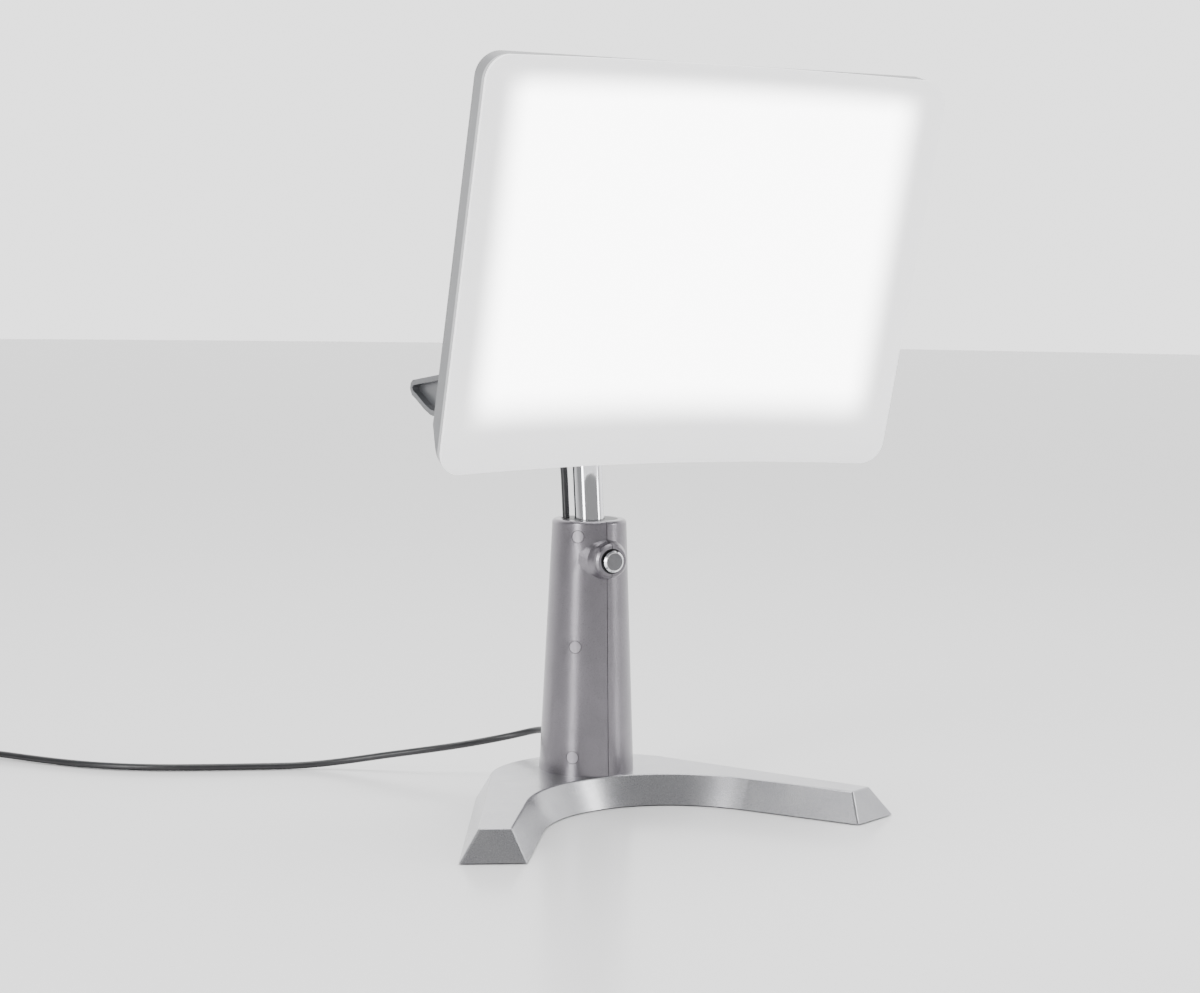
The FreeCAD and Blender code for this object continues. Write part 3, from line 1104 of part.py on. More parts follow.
gland = turned("cord_gland", [
    (ZERO, S.column_foot_radius - 8.0), (S.gland_radius, S.column_foot_radius - 8.0),
    (S.gland_radius, S.column_foot_radius - 0.4), (S.gland_radius + 2.0, S.column_foot_radius - 0.4),
    (S.gland_radius + 2.0, S.column_foot_radius + 2.0),
    (S.gland_radius - 0.6, S.column_foot_radius + 3.6),
    (S.gland_tip_radius, S.column_foot_radius - 5.0 + S.gland_length),
    (ZERO, S.column_foot_radius - 5.0 + S.gland_length)])
keep("cord_gland", gland, Placement(Vector(-gland_left, 0, float(S.gland_height)), TURN_TO_Y))
slack_end = mast_frame.multVec(Vector(-left, behind, lead_low))
slack_next = mast_frame.multVec(Vector(-left, behind, lead_low - 22.0))
slack_points = [(-gland_left, gland_start, float(S.gland_height)),
                (-gland_left, gland_start - 8.0, float(S.gland_height)),
                (-20.0, 12.0, 64.0), (-22.0, -4.0, 88.0),
                (slack_next.x, slack_next.y, slack_next.z), (slack_end.x, slack_end.y, slack_end.z)]
slack_edges = route_edges("slack lead", slack_points)
slack_solid = tube(slack_edges, cord)
check_volume("slack lead", slack_solid, slack_edges, cord)
keep("slack_lead", formed("slack_lead", slack_solid))

# Mains lead: out of the gland, down to the floor and away to the left, to a coil and a plug.
lie = cord + 0.1
coil_lie = lie + float(S.tie_wall) + 0.1
coil_centre = Vector(-float(S.coil_across), float(S.coil_behind), 0)
coil_pitch = 2.0 * cord + float(S.coil_gap)
layer_rise = 2.0 * cord + float(S.coil_gap)
half_turns = float(S.coil_turns) / 2.0
coil_out = float(S.coil_radius) + coil_pitch * half_turns / 2.0
COIL_START = math.radians(53.0)


def coil_place(turns):
    """Two layers of loops: in along the floor, up a layer, and out again on top."""
    angle = COIL_START + 2.0 * math.pi * turns
    climb = min(max((turns - half_turns + 0.25) / 0.5, 0.0), 1.0)
    climb = climb * climb * (3.0 - 2.0 * climb)
    ease = abs(turns - half_turns)
    if ease < 0.25:
        ease = ease * ease / 0.5 + 0.125
    radius = coil_out - coil_pitch * (half_turns - ease)
    return Vector(coil_centre.x + radius * math.cos(angle), coil_centre.y + radius * math.sin(angle),
                  coil_lie + layer_rise * climb)


def heading_of(place, turns):
    return (place(turns + 1e-4) - place(turns - 1e-4)).normalize()


coil_turns = float(S.coil_turns)
coil_first, coil_last = coil_place(0.0), coil_place(coil_turns)
coil_in, coil_away = heading_of(coil_place, 0.0), heading_of(coil_place, coil_turns)
straight = 2.0 * cord
coil_path = [Part.LineSegment(coil_first - coil_in * straight, coil_first).toShape()]
coil_path += wound_edges(coil_place, coil_turns)
coil_path.append(Part.LineSegment(coil_last, coil_last + coil_away * straight).toShape())
coil_solid = tube(coil_path, cord)
check_volume("coil", coil_solid, coil_path, cord)
samples = [coil_place(coil_turns * index / 600.0) for index in range(601)]
print("coil least gap", round(least_gap(samples, 2.0 * cord, 60), 2))
keep("cord_coil", formed("cord_coil", coil_solid))
coil_mouth = coil_first - coil_in * straight
MAINS_ROUTE = (
    (-7.0, 88.0, 40.4), (-20.0, 104.0, 34.0), (-41.0, 117.0, 28.5), (-64.0, 126.0, 24.5),
    (-88.0, 140.0, 20.0), (-116.0, 161.0, 14.0), (-146.0, 183.0, 7.0), (-178.0, 198.0, lie),
    (-216.0, 211.0, lie),
    (-258.0, 226.0, lie), (-303.0, 245.0, lie), (-343.0, 274.0, lie), (-376.0, 312.0, lie))
gland_tip = float(S.column_foot_radius) - 5.0 + float(S.gland_length)
mains_points = [(-gland_left, gland_tip, float(S.gland_height)),
                (-gland_left, gland_tip + 8.0, float(S.gland_height))]
mains_points += list(MAINS_ROUTE)
approach = coil_mouth - coil_in * 34.0
mains_points += [(approach.x, approach.y, coil_mouth.z), (coil_mouth.x, coil_mouth.y, coil_mouth.z)]
mains_edges = route_edges("mains lead", mains_points)
mains_solid = tube(mains_edges, cord)
check_volume("mains lead", mains_solid, mains_edges, cord)
keep("mains_lead", formed("mains_lead", mains_solid))

# Plug: lies on the floor beside the coil, in line with the coil's last turn.
plug_high = float(S.plug_body_radius)
tail_start = coil_last + coil_away * straight
tail_flat = Vector(coil_away.x, coil_away.y, 0).normalize()
plug_turn = math.degrees(math.atan2(tail_flat.y, tail_flat.x))
plug_body = turned("plug_body", [
    (ZERO, ZERO), (S.cord_radius + 0.9, ZERO), (S.cord_radius + 1.6, S.plug_body_length * 0.4),
    (S.plug_body_radius * 0.78, S.plug_body_length * 0.55),
    (S.plug_body_radius * 0.8, S.plug_body_length * 0.92),
    (S.plug_body_radius * 0.74, S.plug_body_length), (ZERO, S.plug_body_length)])
plug_place = Placement(tail_start, Rotation(Vector(0, 0, 1), plug_turn).multiply(TURN_TO_X))
keep("plug_body", plug_body, plug_place)
pins = []
for index, shift in enumerate((-0.5, 0.5)):
    pins.append(box("pin_%d" % index, S.pin_width, S.pin_thick, S.pin_length,
                    S.pin_width * -0.5, S.pin_spacing * shift - S.pin_thick / 2, S.plug_body_length))
keep("plug_pins", group("plug_pins", *pins), plug_place)
tie_at = COIL_START + math.pi
tie_mid = float(S.coil_radius)
tie_wide = coil_pitch * (half_turns + 1.0) + 3.4
tie_wall = float(S.tie_wall)
tie_high = 2.0 * cord + layer_rise + 0.4 + 2.0 * tie_wall
tie_block = Part.makeBox(tie_wide, 5.0, tie_high, Vector(tie_mid - tie_wide / 2, -2.5, 0.05))
tie_room = Part.makeBox(tie_wide - 2.0 * tie_wall, 6.0, tie_high - 2.0 * tie_wall,
                        Vector(tie_mid - tie_wide / 2 + tie_wall, -3.0, 0.05 + tie_wall))
tie = formed("cord_tie", tie_block.cut(tie_room))
keep("cord_tie", tie, Placement(coil_centre, Rotation(Vector(0, 0, 1), math.degrees(tie_at))))

# The finished document is checked, and each sub-part is written as a file of its own.
doc.recompute()
failed = [obj.Label for obj in doc.Objects if "Invalid" in obj.State or "Error" in obj.State]
if failed:
    raise RuntimeError("objects that failed: " + ", ".join(failed))
os.makedirs("parts", exist_ok=True)
for obj in subparts:
    if obj.Shape.isNull() or not obj.Shape.isValid() or not obj.Shape.Solids:
        raise RuntimeError("no valid solid in " + obj.Label)
for obj in subparts:
    obj.Shape.exportStep("parts/%s.step" % obj.Label)
print(len(subparts), "sub-parts written")
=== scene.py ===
import math

import bmesh
import bpy
from mathutils import Matrix, Vector


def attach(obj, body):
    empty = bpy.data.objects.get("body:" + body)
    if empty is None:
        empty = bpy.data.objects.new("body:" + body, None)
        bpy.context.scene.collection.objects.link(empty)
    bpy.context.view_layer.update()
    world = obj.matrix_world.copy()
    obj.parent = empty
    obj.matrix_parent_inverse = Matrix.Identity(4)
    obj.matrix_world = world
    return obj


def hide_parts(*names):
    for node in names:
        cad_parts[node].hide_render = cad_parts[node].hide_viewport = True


# Light therapy lamp: materials, cord, trim, camera and light. Everything is in metres.
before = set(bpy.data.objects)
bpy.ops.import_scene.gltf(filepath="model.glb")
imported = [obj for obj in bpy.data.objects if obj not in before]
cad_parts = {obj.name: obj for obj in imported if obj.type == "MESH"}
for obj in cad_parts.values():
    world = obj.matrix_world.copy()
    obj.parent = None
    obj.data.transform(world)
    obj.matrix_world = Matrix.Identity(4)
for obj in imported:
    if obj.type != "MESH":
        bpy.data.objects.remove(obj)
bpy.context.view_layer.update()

# The head's frame: its origin is the tilt axis, its up runs up the panel and its back points behind it.
PIVOT = Vector((0.0, -0.07923, 0.34103))
HEAD_TURN = math.radians(15.13)
HEAD_UP = Vector((0.0, -math.sin(HEAD_TURN), math.cos(HEAD_TURN)))
HEAD_BACK = Vector((0.0, math.cos(HEAD_TURN), math.sin(HEAD_TURN)))
PANEL_HALF = 0.197
PANEL_LOW = -0.0398
PANEL_HIGH = 0.274
FACE_DEPTH = -0.0674

# The other places that the finishes follow.
ACROSS = Vector((1.0, 0.0, 0.0))
FRONT = Vector((0.0, -1.0, 0.0))
PLUG_HEIGHTS = (0.0398, 0.1312, 0.2221)
PLUG_LINE = Vector((1.0, 1.0, 0.0)).normalized()
BUTTON_AT = Vector((0.0, 0.0, 0.203))

# Where a noise's middle values start and end: narrow for colour patches, wide for fine grain.
PATCH_NOISE = (0.35, 0.65)
GRAIN_NOISE = (0.3, 0.7)


# Materials
class Paint:
    """A node material with a colour, roughness and bump that vary over the surface."""

    def __init__(self, name):
        self.material = bpy.data.materials.new(name)
        self.material.use_nodes = True
        self.tree = self.material.node_tree
        self.shader = self.tree.nodes["Principled BSDF"]
        self.place = self.node("ShaderNodeTexCoord").outputs["Object"]

    def node(self, kind, **values):
        made = self.tree.nodes.new(kind)
        for key, value in values.items():
            setattr(made, key, value)
        return made

    def link(self, source, target):
        self.tree.links.new(source, target)

    def noise(self, scale, detail=2.0, stretch=None):
        """Noise over the surface, drawn out along the axes where stretch says so."""
        place = self.place
        if stretch is not None:
            mapping = self.node("ShaderNodeMapping")
            mapping.inputs["Scale"].default_value = stretch
            self.link(place, mapping.inputs["Vector"])
            place = mapping.outputs["Vector"]
        noise = self.node("ShaderNodeTexNoise")
        noise.inputs["Scale"].default_value = scale
        noise.inputs["Detail"].default_value = detail
        self.link(place, noise.inputs["Vector"])
        return noise.outputs["Fac"]

    def ranged(self, value, low, high, to_low, to_high, smooth=False):
        """A value moved from one range into another."""
        change = self.node("ShaderNodeMapRange")
        if smooth:
            change.interpolation_type = "SMOOTHSTEP"
        for socket, number in zip(("From Min", "From Max", "To Min", "To Max"),
                                  (low, high, to_low, to_high)):
            change.inputs[socket].default_value = number
        self.link(value, change.inputs["Value"])
        return change.outputs["Result"]

    def below(self, value, full, none):
        """One up to a first limit, fading smoothly to zero at a second."""
        return self.ranged(value, full, none, 1.0, 0.0, True)

    def above(self, value, none, full):
        """Zero up to a first limit, rising smoothly to one at a second."""
        return self.ranged(value, none, full, 0.0, 1.0, True)

    def mixed(self, factor, first, second):
        """A colour between two, each a colour or a socket."""
        mix = self.node("ShaderNodeMix", data_type="RGBA")
        self.link(factor, mix.inputs["Factor"])
        for socket, colour in ((mix.inputs[6], first), (mix.inputs[7], second)):
            if isinstance(colour, tuple):
                socket.default_value = colour + (1.0,)
            else:
                self.link(colour, socket)
        return mix.outputs[2]

    def patches(self, scale, first, second):
        """Slow changes between two colours."""
        return self.mixed(self.ranged(self.noise(scale), *PATCH_NOISE, 0.0, 1.0), first, second)

    def combined(self, operation, first, second):
        """Two values, each a number or a socket, put together by a maths operation."""
        made = self.node("ShaderNodeMath", operation=operation)
        for socket, value in zip(made.inputs, (first, second)):
            if isinstance(value, (int, float)):
                socket.default_value = value
            else:
                self.link(value, socket)
        return made.outputs["Value"]

    def along(self, direction, origin=Vector((0.0, 0.0, 0.0))):
        """The distance along a direction from an origin."""
        dot = self.node("ShaderNodeVectorMath", operation="DOT_PRODUCT")
        self.link(self.place, dot.inputs[0])
        dot.inputs[1].default_value = tuple(direction)
        return self.combined("SUBTRACT", dot.outputs["Value"], float(origin.dot(direction)))

    def from_axis(self, direction, origin):
        """The distance from a line."""
        offset = self.node("ShaderNodeVectorMath", operation="SUBTRACT")
        self.link(self.place, offset.inputs[0])
        offset.inputs[1].default_value = tuple(origin)
        cross = self.node("ShaderNodeVectorMath", operation="CROSS_PRODUCT")
        self.link(offset.outputs["Vector"], cross.inputs[0])
        cross.inputs[1].default_value = tuple(direction)
        length = self.node("ShaderNodeVectorMath", operation="LENGTH")
        self.link(cross.outputs["Vector"], length.inputs[0])
        return length.outputs["Value"]

    def coloured(self, tone):
        self.link(tone, self.shader.inputs["Base Color"])

    def bumped(self, height, strength, distance):
        bump = self.node("ShaderNodeBump")
        bump.inputs["Strength"].default_value = strength
        bump.inputs["Distance"].default_value = distance
        self.link(height, bump.inputs["Height"])
        self.link(bump.outputs["Normal"], self.shader.inputs["Normal"])

    def grained(self, scale, smoothest, roughest, strength, depth, stretch=None):
        """Fine grain, as changes of roughness between two values and as a slight bump."""
        fine = self.noise(scale, stretch=stretch)
        self.link(self.ranged(fine, *GRAIN_NOISE, smoothest, roughest), self.shader.inputs["Roughness"])
        self.bumped(fine, strength, depth)

    def finish(self, metal=0.0, coat=0.0, coat_rough=0.1, specular=0.5):
        self.shader.inputs["Metallic"].default_value = metal
        self.shader.inputs["Coat Weight"].default_value = coat
        self.shader.inputs["Coat Roughness"].default_value = coat_rough
        self.shader.inputs["Specular IOR Level"].default_value = specular
        return self.material


def surface(name, colour, second, rough, spread=0.05, metal=0.0, coat=0.0, patch=40.0, grain=1800.0,
            depth=0.00004, strength=0.3, stretch=None):
    """A finish with slow colour changes and fine grain."""
    paint = Paint(name)
    paint.coloured(paint.patches(patch, colour, second))
    paint.grained(grain, rough - spread, rough + spread, strength, depth, stretch)
    return paint.finish(metal, coat)


foot_metal = surface("foot_silver_paint", (0.42, 0.42, 0.435), (0.38, 0.38, 0.40), 0.27, metal=0.88,
                     coat=0.25, grain=2600.0, depth=0.00003, strength=0.22)
plug_paint = surface("screw_plug_paint", (0.25, 0.236, 0.258), (0.225, 0.213, 0.233), 0.33, metal=0.88,
                     grain=2200.0, strength=0.3)
yoke_grey = surface("yoke_grey_plastic", (0.095, 0.098, 0.104), (0.08, 0.083, 0.09), 0.36, patch=30.0,
                    grain=1500.0, depth=0.00006, strength=0.4, coat=0.15)
black_plastic = surface("black_grained_plastic", (0.022, 0.022, 0.024), (0.03, 0.03, 0.032), 0.42,
                        grain=1400.0, depth=0.00008, strength=0.5)
rubber = surface("soft_black_rubber", (0.02, 0.02, 0.02), (0.032, 0.031, 0.03), 0.75, grain=1100.0,
                 depth=0.0001, strength=0.5)
steel = surface("plated_steel", (0.56, 0.565, 0.58), (0.5, 0.505, 0.52), 0.27, metal=1.0, grain=900.0,
                depth=0.00003, stretch=(1.0, 1.0, 12.0))
cast_metal = surface("plain_casting", (0.42, 0.42, 0.43), (0.36, 0.36, 0.37), 0.5, metal=0.9,
                     grain=700.0, depth=0.00015, strength=0.6)
chrome = surface("polished_tube", (0.80, 0.80, 0.82), (0.76, 0.765, 0.79), 0.085, spread=0.03, metal=1.0,
                 grain=260.0, depth=0.00001, strength=0.12, stretch=(1.0, 1.0, 0.06))
cord_black = surface("cord_sheath", (0.017, 0.017, 0.019), (0.026, 0.026, 0.028), 0.34, grain=900.0,
                     depth=0.00006, strength=0.3)
brass = surface("pin_brass", (0.72, 0.56, 0.28), (0.66, 0.5, 0.24), 0.22, metal=1.0, grain=1200.0,
                depth=0.00002, stretch=(10.0, 1.0, 1.0))
white_plastic = surface("white_moulding", (0.78, 0.78, 0.76), (0.73, 0.73, 0.71), 0.45, grain=1300.0)
white_enamel = surface("white_enamel", (0.86, 0.86, 0.86), (0.82, 0.82, 0.83), 0.22, coat=0.4,
                       grain=600.0)
lamp_glass = surface("phosphor_glass", (0.90, 0.91, 0.93), (0.85, 0.86, 0.9), 0.16, coat=0.6, grain=500.0)
gear_case = surface("gear_case", (0.70, 0.70, 0.68), (0.64, 0.64, 0.62), 0.5, grain=1000.0)


def column_material(plug_edge=0.00525, plug_gap=0.0002, button_edge=0.0102, button_gap=0.0004,
                    boss_face=0.030, boss_fade=0.001):
    """Satin grey with a lilac cast, with painted shade in the fine gaps round the screw plugs and the
    button.
    """
    paint = Paint("column_satin_paint")
    tone = paint.patches(30.0, (0.225, 0.212, 0.232), (0.205, 0.194, 0.212))
    # Painted shade: a mask over the bores round the three screw plugs and, in front of the boss, round the
    # button.
    gap_shade = None
    for height in PLUG_HEIGHTS:
        radius = paint.from_axis(PLUG_LINE, Vector((0.0, 0.0, height)))
        ring = paint.below(radius, plug_edge, plug_edge + plug_gap)
        gap_shade = ring if gap_shade is None else paint.combined("MAXIMUM", gap_shade, ring)
    radius = paint.from_axis(FRONT, BUTTON_AT)
    ahead = paint.above(paint.along(FRONT), boss_face, boss_face + boss_fade)
    ring = paint.combined("MULTIPLY", paint.below(radius, button_edge, button_edge + button_gap), ahead)
    gap_shade = paint.combined("MAXIMUM", gap_shade, ring)
    # The painted shade in those bores is near black.
    paint.coloured(paint.mixed(gap_shade, tone, (0.03, 0.03, 0.032)))
    paint.grained(2600.0, 0.25, 0.35, 0.22, 0.00003)
    return paint.finish(metal=0.88, coat=0.2)


def shell_material(band_edge=0.0068, band_fade=0.001, lip_edge=0.0016, lip_fade=0.0005):
    """Grey moulding, darker behind a lighter band that borders the face."""
    paint = Paint("shell_two_tone_grey")
    depth = paint.along(HEAD_BACK, PIVOT + HEAD_BACK * FACE_DEPTH)
    rear = paint.mixed(paint.noise(35.0), (0.20, 0.203, 0.21), (0.175, 0.178, 0.186))
    band = paint.below(depth, band_edge, band_edge + band_fade)
    tone = paint.mixed(band, rear, (0.50, 0.505, 0.515))
    lip = paint.below(depth, lip_edge, lip_edge + lip_fade)
    paint.coloured(paint.mixed(lip, tone, (0.10, 0.10, 0.105)))
    paint.grained(1700.0, 0.28, 0.4, 0.3, 0.00005)
    return paint.finish(metal=0.35, coat=0.2)


def cover_material(side_fade=(0.044, 0.012), low_fade=(0.028, 0.068), top_fade=(0.032, 0.006),
                   unlit_height=0.055, dimmest=0.9, brightest=8.0):
    """Opal white cover: bright where the lamps stand behind it, greyer at its sides and bottom."""
    paint = Paint("opal_cover")
    across = paint.combined("ABSOLUTE", paint.along(ACROSS), 0.0)
    up = paint.along(HEAD_UP, PIVOT)
    sides = paint.below(across, PANEL_HALF - side_fade[0], PANEL_HALF - side_fade[1])
    low = paint.above(up, PANEL_LOW + low_fade[0], PANEL_LOW + low_fade[1])
    top = paint.below(up, PANEL_HIGH - top_fade[0], PANEL_HIGH - top_fade[1])
    glow = paint.combined("MULTIPLY", paint.combined("MULTIPLY", sides, low), top)
    haze = paint.ranged(paint.noise(14.0), *GRAIN_NOISE, 0.97, 1.0)
    fall = paint.above(up, PANEL_LOW, PANEL_LOW + unlit_height)
    unlit = paint.mixed(fall, (0.78, 0.78, 0.79), (0.90, 0.90, 0.91))
    paint.coloured(paint.mixed(glow, unlit, (0.92, 0.92, 0.92)))
    paint.shader.inputs["Emission Color"].default_value = (1.0, 1.0, 1.0, 1.0)
    lit = paint.ranged(paint.combined("MULTIPLY", glow, haze), 0.0, 1.0, dimmest, brightest)
    paint.link(lit, paint.shader.inputs["Emission Strength"])
    paint.grained(900.0, 0.24, 0.32, 0.15, 0.00002)
    return paint.finish(coat=0.3)


def button_material(face_radius=0.0070, rim_fade=0.0003):
    """A polished bevelled rim, coloured bright as a painted highlight, round a darker brushed face."""
    paint = Paint("button_face")
    radius = paint.from_axis(FRONT, BUTTON_AT)
    inner = paint.below(radius, face_radius, face_radius + rim_fade)
    brushed = paint.noise(500.0, 3.0, (1.0, 1.0, 14.0))
    dark = paint.mixed(brushed, (0.13, 0.13, 0.135), (0.26, 0.26, 0.27))
    # Painted highlight: the rim outside the face is coloured near white.
    paint.coloured(paint.mixed(inner, (0.86, 0.86, 0.88), dark))
    paint.link(paint.ranged(inner, 0.0, 1.0, 0.1, 0.3), paint.shader.inputs["Roughness"])
    paint.bumped(brushed, 0.2, 0.00003)
    return paint.finish(metal=1.0)


FINISHES = {
    foot_metal: ("foot_casting",),
    column_material(): ("column_left", "column_right"),
    plug_paint: ("screw_plugs",),
    cast_metal: ("guide_post", "foot_weight"),
    black_plastic: ("foot_cover", "guide_bush", "top_collar", "button_plunger", "mast_end_bush",
                    "friction_washers", "switch_frame", "rocker", "cord_tie"),
    rubber: ("foot_pads", "lead_grommet", "ballast_feet", "cord_gland"),
    steel: ("cover_screws", "shell_screws", "column_bolts", "lock_spring", "lock_plate", "clamp_screw",
            "head_screws", "lamp_clips", "hinge_brackets", "pivot_bolts", "pivot_nuts"),
    chrome: ("mast_tube",),
    yoke_grey: ("yoke",),
    shell_material(): ("rear_shell",),
    cover_material(): ("front_cover",),
    button_material(): ("height_button",),
    cord_black: ("slack_lead", "lamp_lead", "plug_body"),
    brass: ("plug_pins",),
    white_plastic: ("lamp_bases", "lampholders"),
    white_enamel: ("reflector",),
    lamp_glass: ("lamp_1", "lamp_2", "lamp_3"),
    gear_case: ("ballast",),
}
for material, names in FINISHES.items():
    for name in names:
        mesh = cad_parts[name].data
        mesh.materials.clear()
        mesh.materials.append(material)

# Edges: a small rounding on the pieces whose edges show, so that they catch the light.
SOFT_EDGES = {"foot_casting": 0.0006, "yoke": 0.0008, "rear_shell": 0.0008, "front_cover": 0.0008,
              "height_button": 0.0003, "top_collar": 0.0004, "switch_frame": 0.0004, "rocker": 0.0004,
              "plug_body": 0.0005}
SHARPEST_LEFT = math.radians(35.0)
for name, width in SOFT_EDGES.items():
    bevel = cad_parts[name].modifiers.new("soft_edge", "BEVEL")
    bevel.width = width
    bevel.segments = 2
    bevel.limit_method = "ANGLE"
    bevel.angle_limit = SHARPEST_LEFT
    bevel.use_clamp_overlap = True


# Cord: the visible run and the stored coil are one lead with a plug at its end.
CORD_RADIUS = 0.0030
FLOOR_LIE = 0.0031
GLAND_TIP = (-0.00332, 0.0646, 0.044)
COIL_LIE = FLOOR_LIE + 0.0009
COIL_CENTRE = Vector((-0.473, 0.352, 0.0))
COIL_RADIUS = 0.034
COIL_TURNS = 5.5
COIL_PITCH = 0.0069
COIL_START = math.radians(53.0)
COIL_OVERRUN = 0.006
COIL_APPROACH = 0.040
CLIMB_TURNS = 0.5
POINTS_PER_TURN = 18
SMALL_TURN = 1e-4


def coil_place(turns):
    """Two layers of loops: in along the floor, up a layer, and out again on top."""
    half_turns = COIL_TURNS / 2.0
    half_climb = CLIMB_TURNS / 2.0
    climb = min(max((turns - half_turns + half_climb) / CLIMB_TURNS, 0.0), 1.0)
    climb = climb * climb * (3.0 - 2.0 * climb)
    ease = abs(turns - half_turns)
    if ease < half_climb:
        ease = ease * ease / CLIMB_TURNS + half_climb / 2.0
    radius = COIL_RADIUS + COIL_PITCH * half_turns / 2.0 - COIL_PITCH * (half_turns - ease)
    angle = COIL_START + 2.0 * math.pi * turns
    return Vector((COIL_CENTRE.x + radius * math.cos(angle), COIL_CENTRE.y + radius * math.sin(angle),
                   COIL_LIE + COIL_PITCH * climb))


def coil_heading(before, after):
    return (coil_place(after) - coil_place(before)).normalized()


coil_start = coil_place(0.0)
coil_in = coil_heading(-SMALL_TURN, SMALL_TURN)
coil_away = coil_heading(COIL_TURNS - SMALL_TURN, COIL_TURNS + SMALL_TURN)
cord_points = [
    GLAND_TIP, (-0.00332, 0.0726, 0.044), (-0.007, 0.088, 0.0404), (-0.020, 0.104, 0.034),
    (-0.041, 0.117, 0.0285), (-0.064, 0.126, 0.0245), (-0.088, 0.140, 0.020),
    (-0.116, 0.161, 0.014), (-0.146, 0.183, 0.007), (-0.178, 0.198, FLOOR_LIE),
    (-0.216, 0.211, FLOOR_LIE), (-0.258, 0.226, FLOOR_LIE), (-0.303, 0.245, FLOOR_LIE),
    (-0.343, 0.274, FLOOR_LIE), (-0.376, 0.312, FLOOR_LIE),
    tuple(coil_start - coil_in * COIL_APPROACH), tuple(coil_start - coil_in * COIL_OVERRUN)]
turn_count = int(COIL_TURNS * POINTS_PER_TURN)
cord_points += [tuple(coil_place(COIL_TURNS * index / turn_count)) for index in range(turn_count + 1)]
cord_points.append(tuple(coil_place(COIL_TURNS) + coil_away * COIL_OVERRUN))
curve = bpy.data.curves.new("mains_cord", "CURVE")
curve.dimensions = "3D"
curve.bevel_depth = CORD_RADIUS
curve.bevel_resolution = 5
curve.resolution_u = 8
curve.use_fill_caps = True
spline = curve.splines.new("NURBS")
spline.points.add(len(cord_points) - 1)
for point, spot in zip(spline.points, cord_points):
    point.co = (*spot, 1.0)
spline.use_endpoint_u = True
spline.order_u = 3
mains_cord = bpy.data.objects.new("mains_cord", curve)
bpy.context.collection.objects.link(mains_cord)
curve.materials.append(cord_black)


def tube_of_rings(name, rings, material, steps=40):
    """A smooth turned form from (distance, radius) rings, along Z."""
    mesh = bpy.data.meshes.new(name)
    form = bmesh.new()
    loops = []
    for distance, radius in rings:
        loops.append([form.verts.new((radius * math.cos(2.0 * math.pi * step / steps),
                                      radius * math.sin(2.0 * math.pi * step / steps), distance))
                      for step in range(steps)])
    for low, high in zip(loops, loops[1:]):
        for step in range(steps):
            following = (step + 1) % steps
            form.faces.new((low[step], low[following], high[following], high[step]))
    form.faces.new(loops[0][::-1])
    form.faces.new(loops[-1])
    for face in form.faces:
        face.smooth = True
    form.to_mesh(mesh)
    form.free()
    mesh.materials.append(material)
    made = bpy.data.objects.new(name, mesh)
    bpy.context.collection.objects.link(made)
    return made


def aim(obj, start, heading):
    """Puts a form that was built along Z at a start, along a heading."""
    turn = Vector((0.0, 0.0, 1.0)).rotation_difference(heading)
    obj.matrix_world = Matrix.Translation(start) @ turn.to_matrix().to_4x4()


# Strain relief: a ribbed rubber sleeve that tapers out of the column along the lead.
RELIEF_LENGTH = 0.033
RIB_COUNT = 6
RIB_START = 0.0118
RIB_PITCH = 0.0034
RIB_RADIUS = 0.0056
RIB_TAPER = 0.00022
GROOVE_DEPTH = 0.0009
# Each rib's two edges and the groove after it, from the rib's start.
RIB_END, GROOVE_START, GROOVE_END = 0.0020, 0.0022, 0.0031
relief_rings = [(0.0, 0.0062), (0.0066, 0.0062), (0.0067, 0.0080), (0.0084, 0.0080), (0.0096, 0.0072),
                (0.0110, 0.0058)]
for index in range(RIB_COUNT):
    start = RIB_START + RIB_PITCH * index
    radius = RIB_RADIUS - RIB_TAPER * index
    relief_rings += [(start, radius), (start + RIB_END, radius),
                     (start + GROOVE_START, radius - GROOVE_DEPTH),
                     (start + GROOVE_END, radius - GROOVE_DEPTH)]
relief_rings += [(0.0328, 0.0043), (RELIEF_LENGTH, 0.0040)]
strain_relief = tube_of_rings("strain_relief", relief_rings, rubber)
aim(strain_relief, Vector((GLAND_TIP[0], GLAND_TIP[1] - RELIEF_LENGTH, GLAND_TIP[2])), -FRONT)
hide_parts("cord_gland")
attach(strain_relief, "base")

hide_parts("mains_lead", "cord_coil")
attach(mains_cord, "base")

# Floor: pale, with the faint gloss of a studio table.
FLOOR_RADIUS = 14.0
floor_paint = Paint("studio_floor")
floor_paint.coloured(floor_paint.mixed(floor_paint.noise(3.0), (0.90, 0.90, 0.90), (0.88, 0.88, 0.885)))
floor_paint.shader.inputs["Roughness"].default_value = 0.22
floor_paint.finish(specular=0.25)
bpy.ops.mesh.primitive_circle_add(vertices=96, radius=FLOOR_RADIUS, fill_type="NGON",
                                  location=(0.0, 0.0, 0.0))
floor = bpy.context.object
floor.name = "studio_floor"
floor.data.materials.append(floor_paint.material)

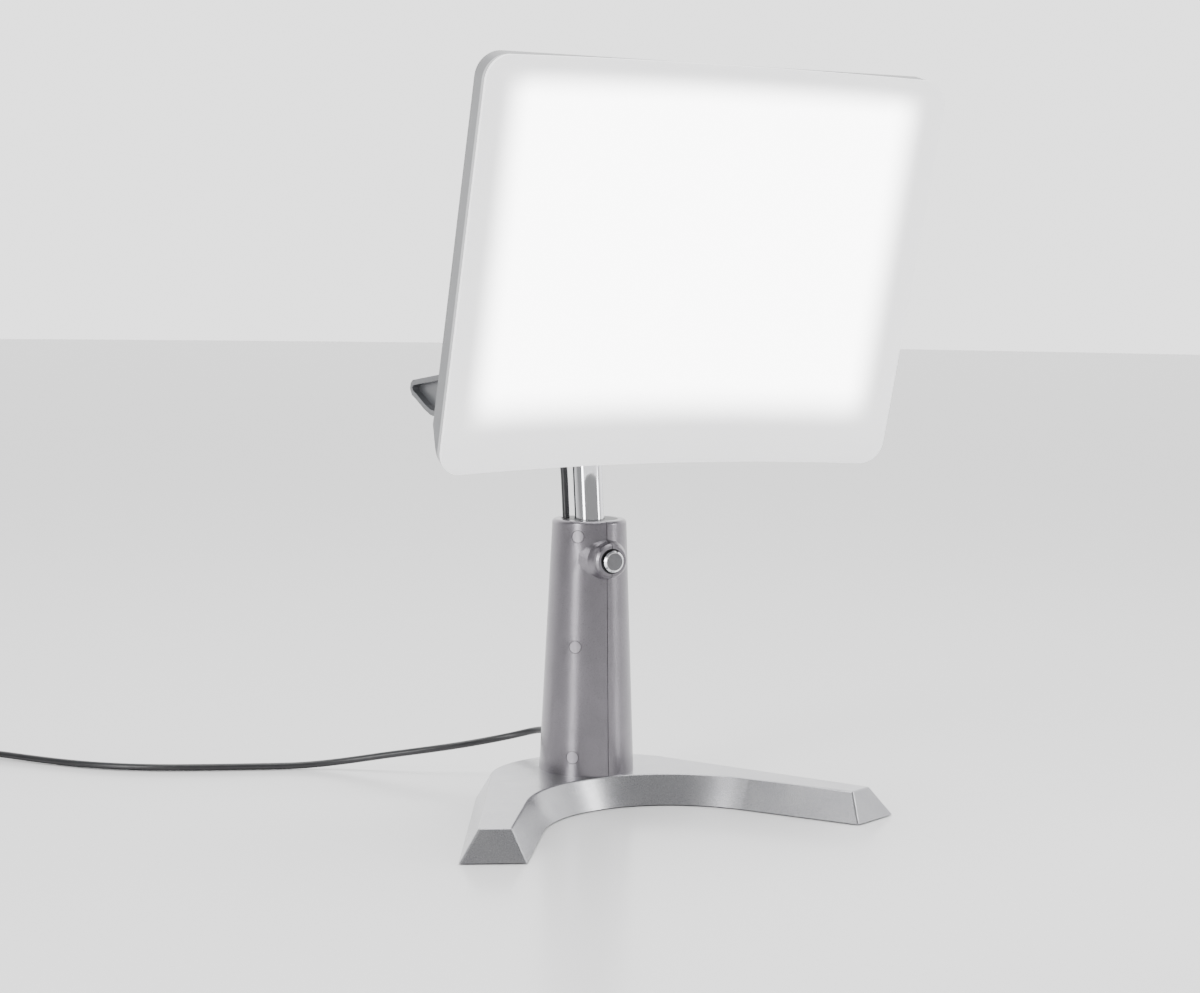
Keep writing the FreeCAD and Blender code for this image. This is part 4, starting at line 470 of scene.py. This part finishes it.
# Surround: white, and brightest towards the backdrop, the way that the camera looks.
BACKDROP = Vector((0.467, 0.880, 0.0))
BACKDROP_FADE = (-0.2, 0.7)
SURROUND_STRENGTH = (0.4, 2.4)
world = bpy.data.worlds.new("studio")
bpy.context.scene.world = world
world.use_nodes = True
tree = world.node_tree
tree.nodes["Background"].inputs["Color"].default_value = (1.0, 1.0, 1.0, 1.0)
sky_place = tree.nodes.new("ShaderNodeTexCoord")
sky_dot = tree.nodes.new("ShaderNodeVectorMath")
sky_dot.operation = "DOT_PRODUCT"
sky_dot.inputs[1].default_value = tuple(BACKDROP)
sky_range = tree.nodes.new("ShaderNodeMapRange")
sky_range.interpolation_type = "SMOOTHSTEP"
for socket, number in zip(("From Min", "From Max", "To Min", "To Max"), BACKDROP_FADE + SURROUND_STRENGTH):
    sky_range.inputs[socket].default_value = number
tree.links.new(sky_place.outputs["Generated"], sky_dot.inputs[0])
tree.links.new(sky_dot.outputs["Value"], sky_range.inputs["Value"])
tree.links.new(sky_range.outputs["Result"], tree.nodes["Background"].inputs["Strength"])

# Lights: a soft one in front at each side and a larger one above, all turned to the column's top.
LIGHTS_AIM = Vector((0.0, 0.0, 0.2))


def soft_light(name, place, size, height, power):
    light = bpy.data.lights.new(name, "AREA")
    light.shape = "RECTANGLE"
    light.size = size
    light.size_y = height
    light.energy = power
    lamp = bpy.data.objects.new(name, light)
    bpy.context.collection.objects.link(lamp)
    lamp.location = place
    lamp.rotation_euler = (LIGHTS_AIM - Vector(place)).to_track_quat("-Z", "Y").to_euler()


soft_light("key", (-1.9, -0.9, 0.9), 0.5, 1.6, 34.0)
soft_light("fill", (1.7, -1.2, 0.9), 0.4, 1.5, 20.0)
soft_light("top", (0.1, 0.2, 2.2), 1.5, 1.5, 36.0)

# Camera, from the fitted view of the photograph.
CAMERA_PLACE = Vector((-0.9018, -1.7172, 0.4314))
CAMERA_BACK = Vector((-0.4669, -0.8796, 0.0917)).normalized()
AZIMUTH = math.radians(-27.96)
ROLL = math.radians(0.76)
SENSOR_WIDTH = 36.0
LENS = 70.28
level = Vector((math.cos(AZIMUTH), math.sin(AZIMUTH), 0.0))
rise = CAMERA_BACK.cross(level)
camera_right = (level * math.cos(ROLL) + rise * math.sin(ROLL)).normalized()
camera_up = CAMERA_BACK.cross(camera_right)
camera_data = bpy.data.cameras.new("photo_view")
camera_data.sensor_fit = "HORIZONTAL"
camera_data.sensor_width = SENSOR_WIDTH
camera_data.lens = LENS
camera = bpy.data.objects.new("photo_view", camera_data)
bpy.context.collection.objects.link(camera)
camera_turn = Matrix((camera_right, camera_up, CAMERA_BACK)).transposed()
camera.matrix_world = Matrix.Translation(CAMERA_PLACE) @ camera_turn.to_4x4()
bpy.context.scene.camera = camera

bpy.context.view_layer.update()
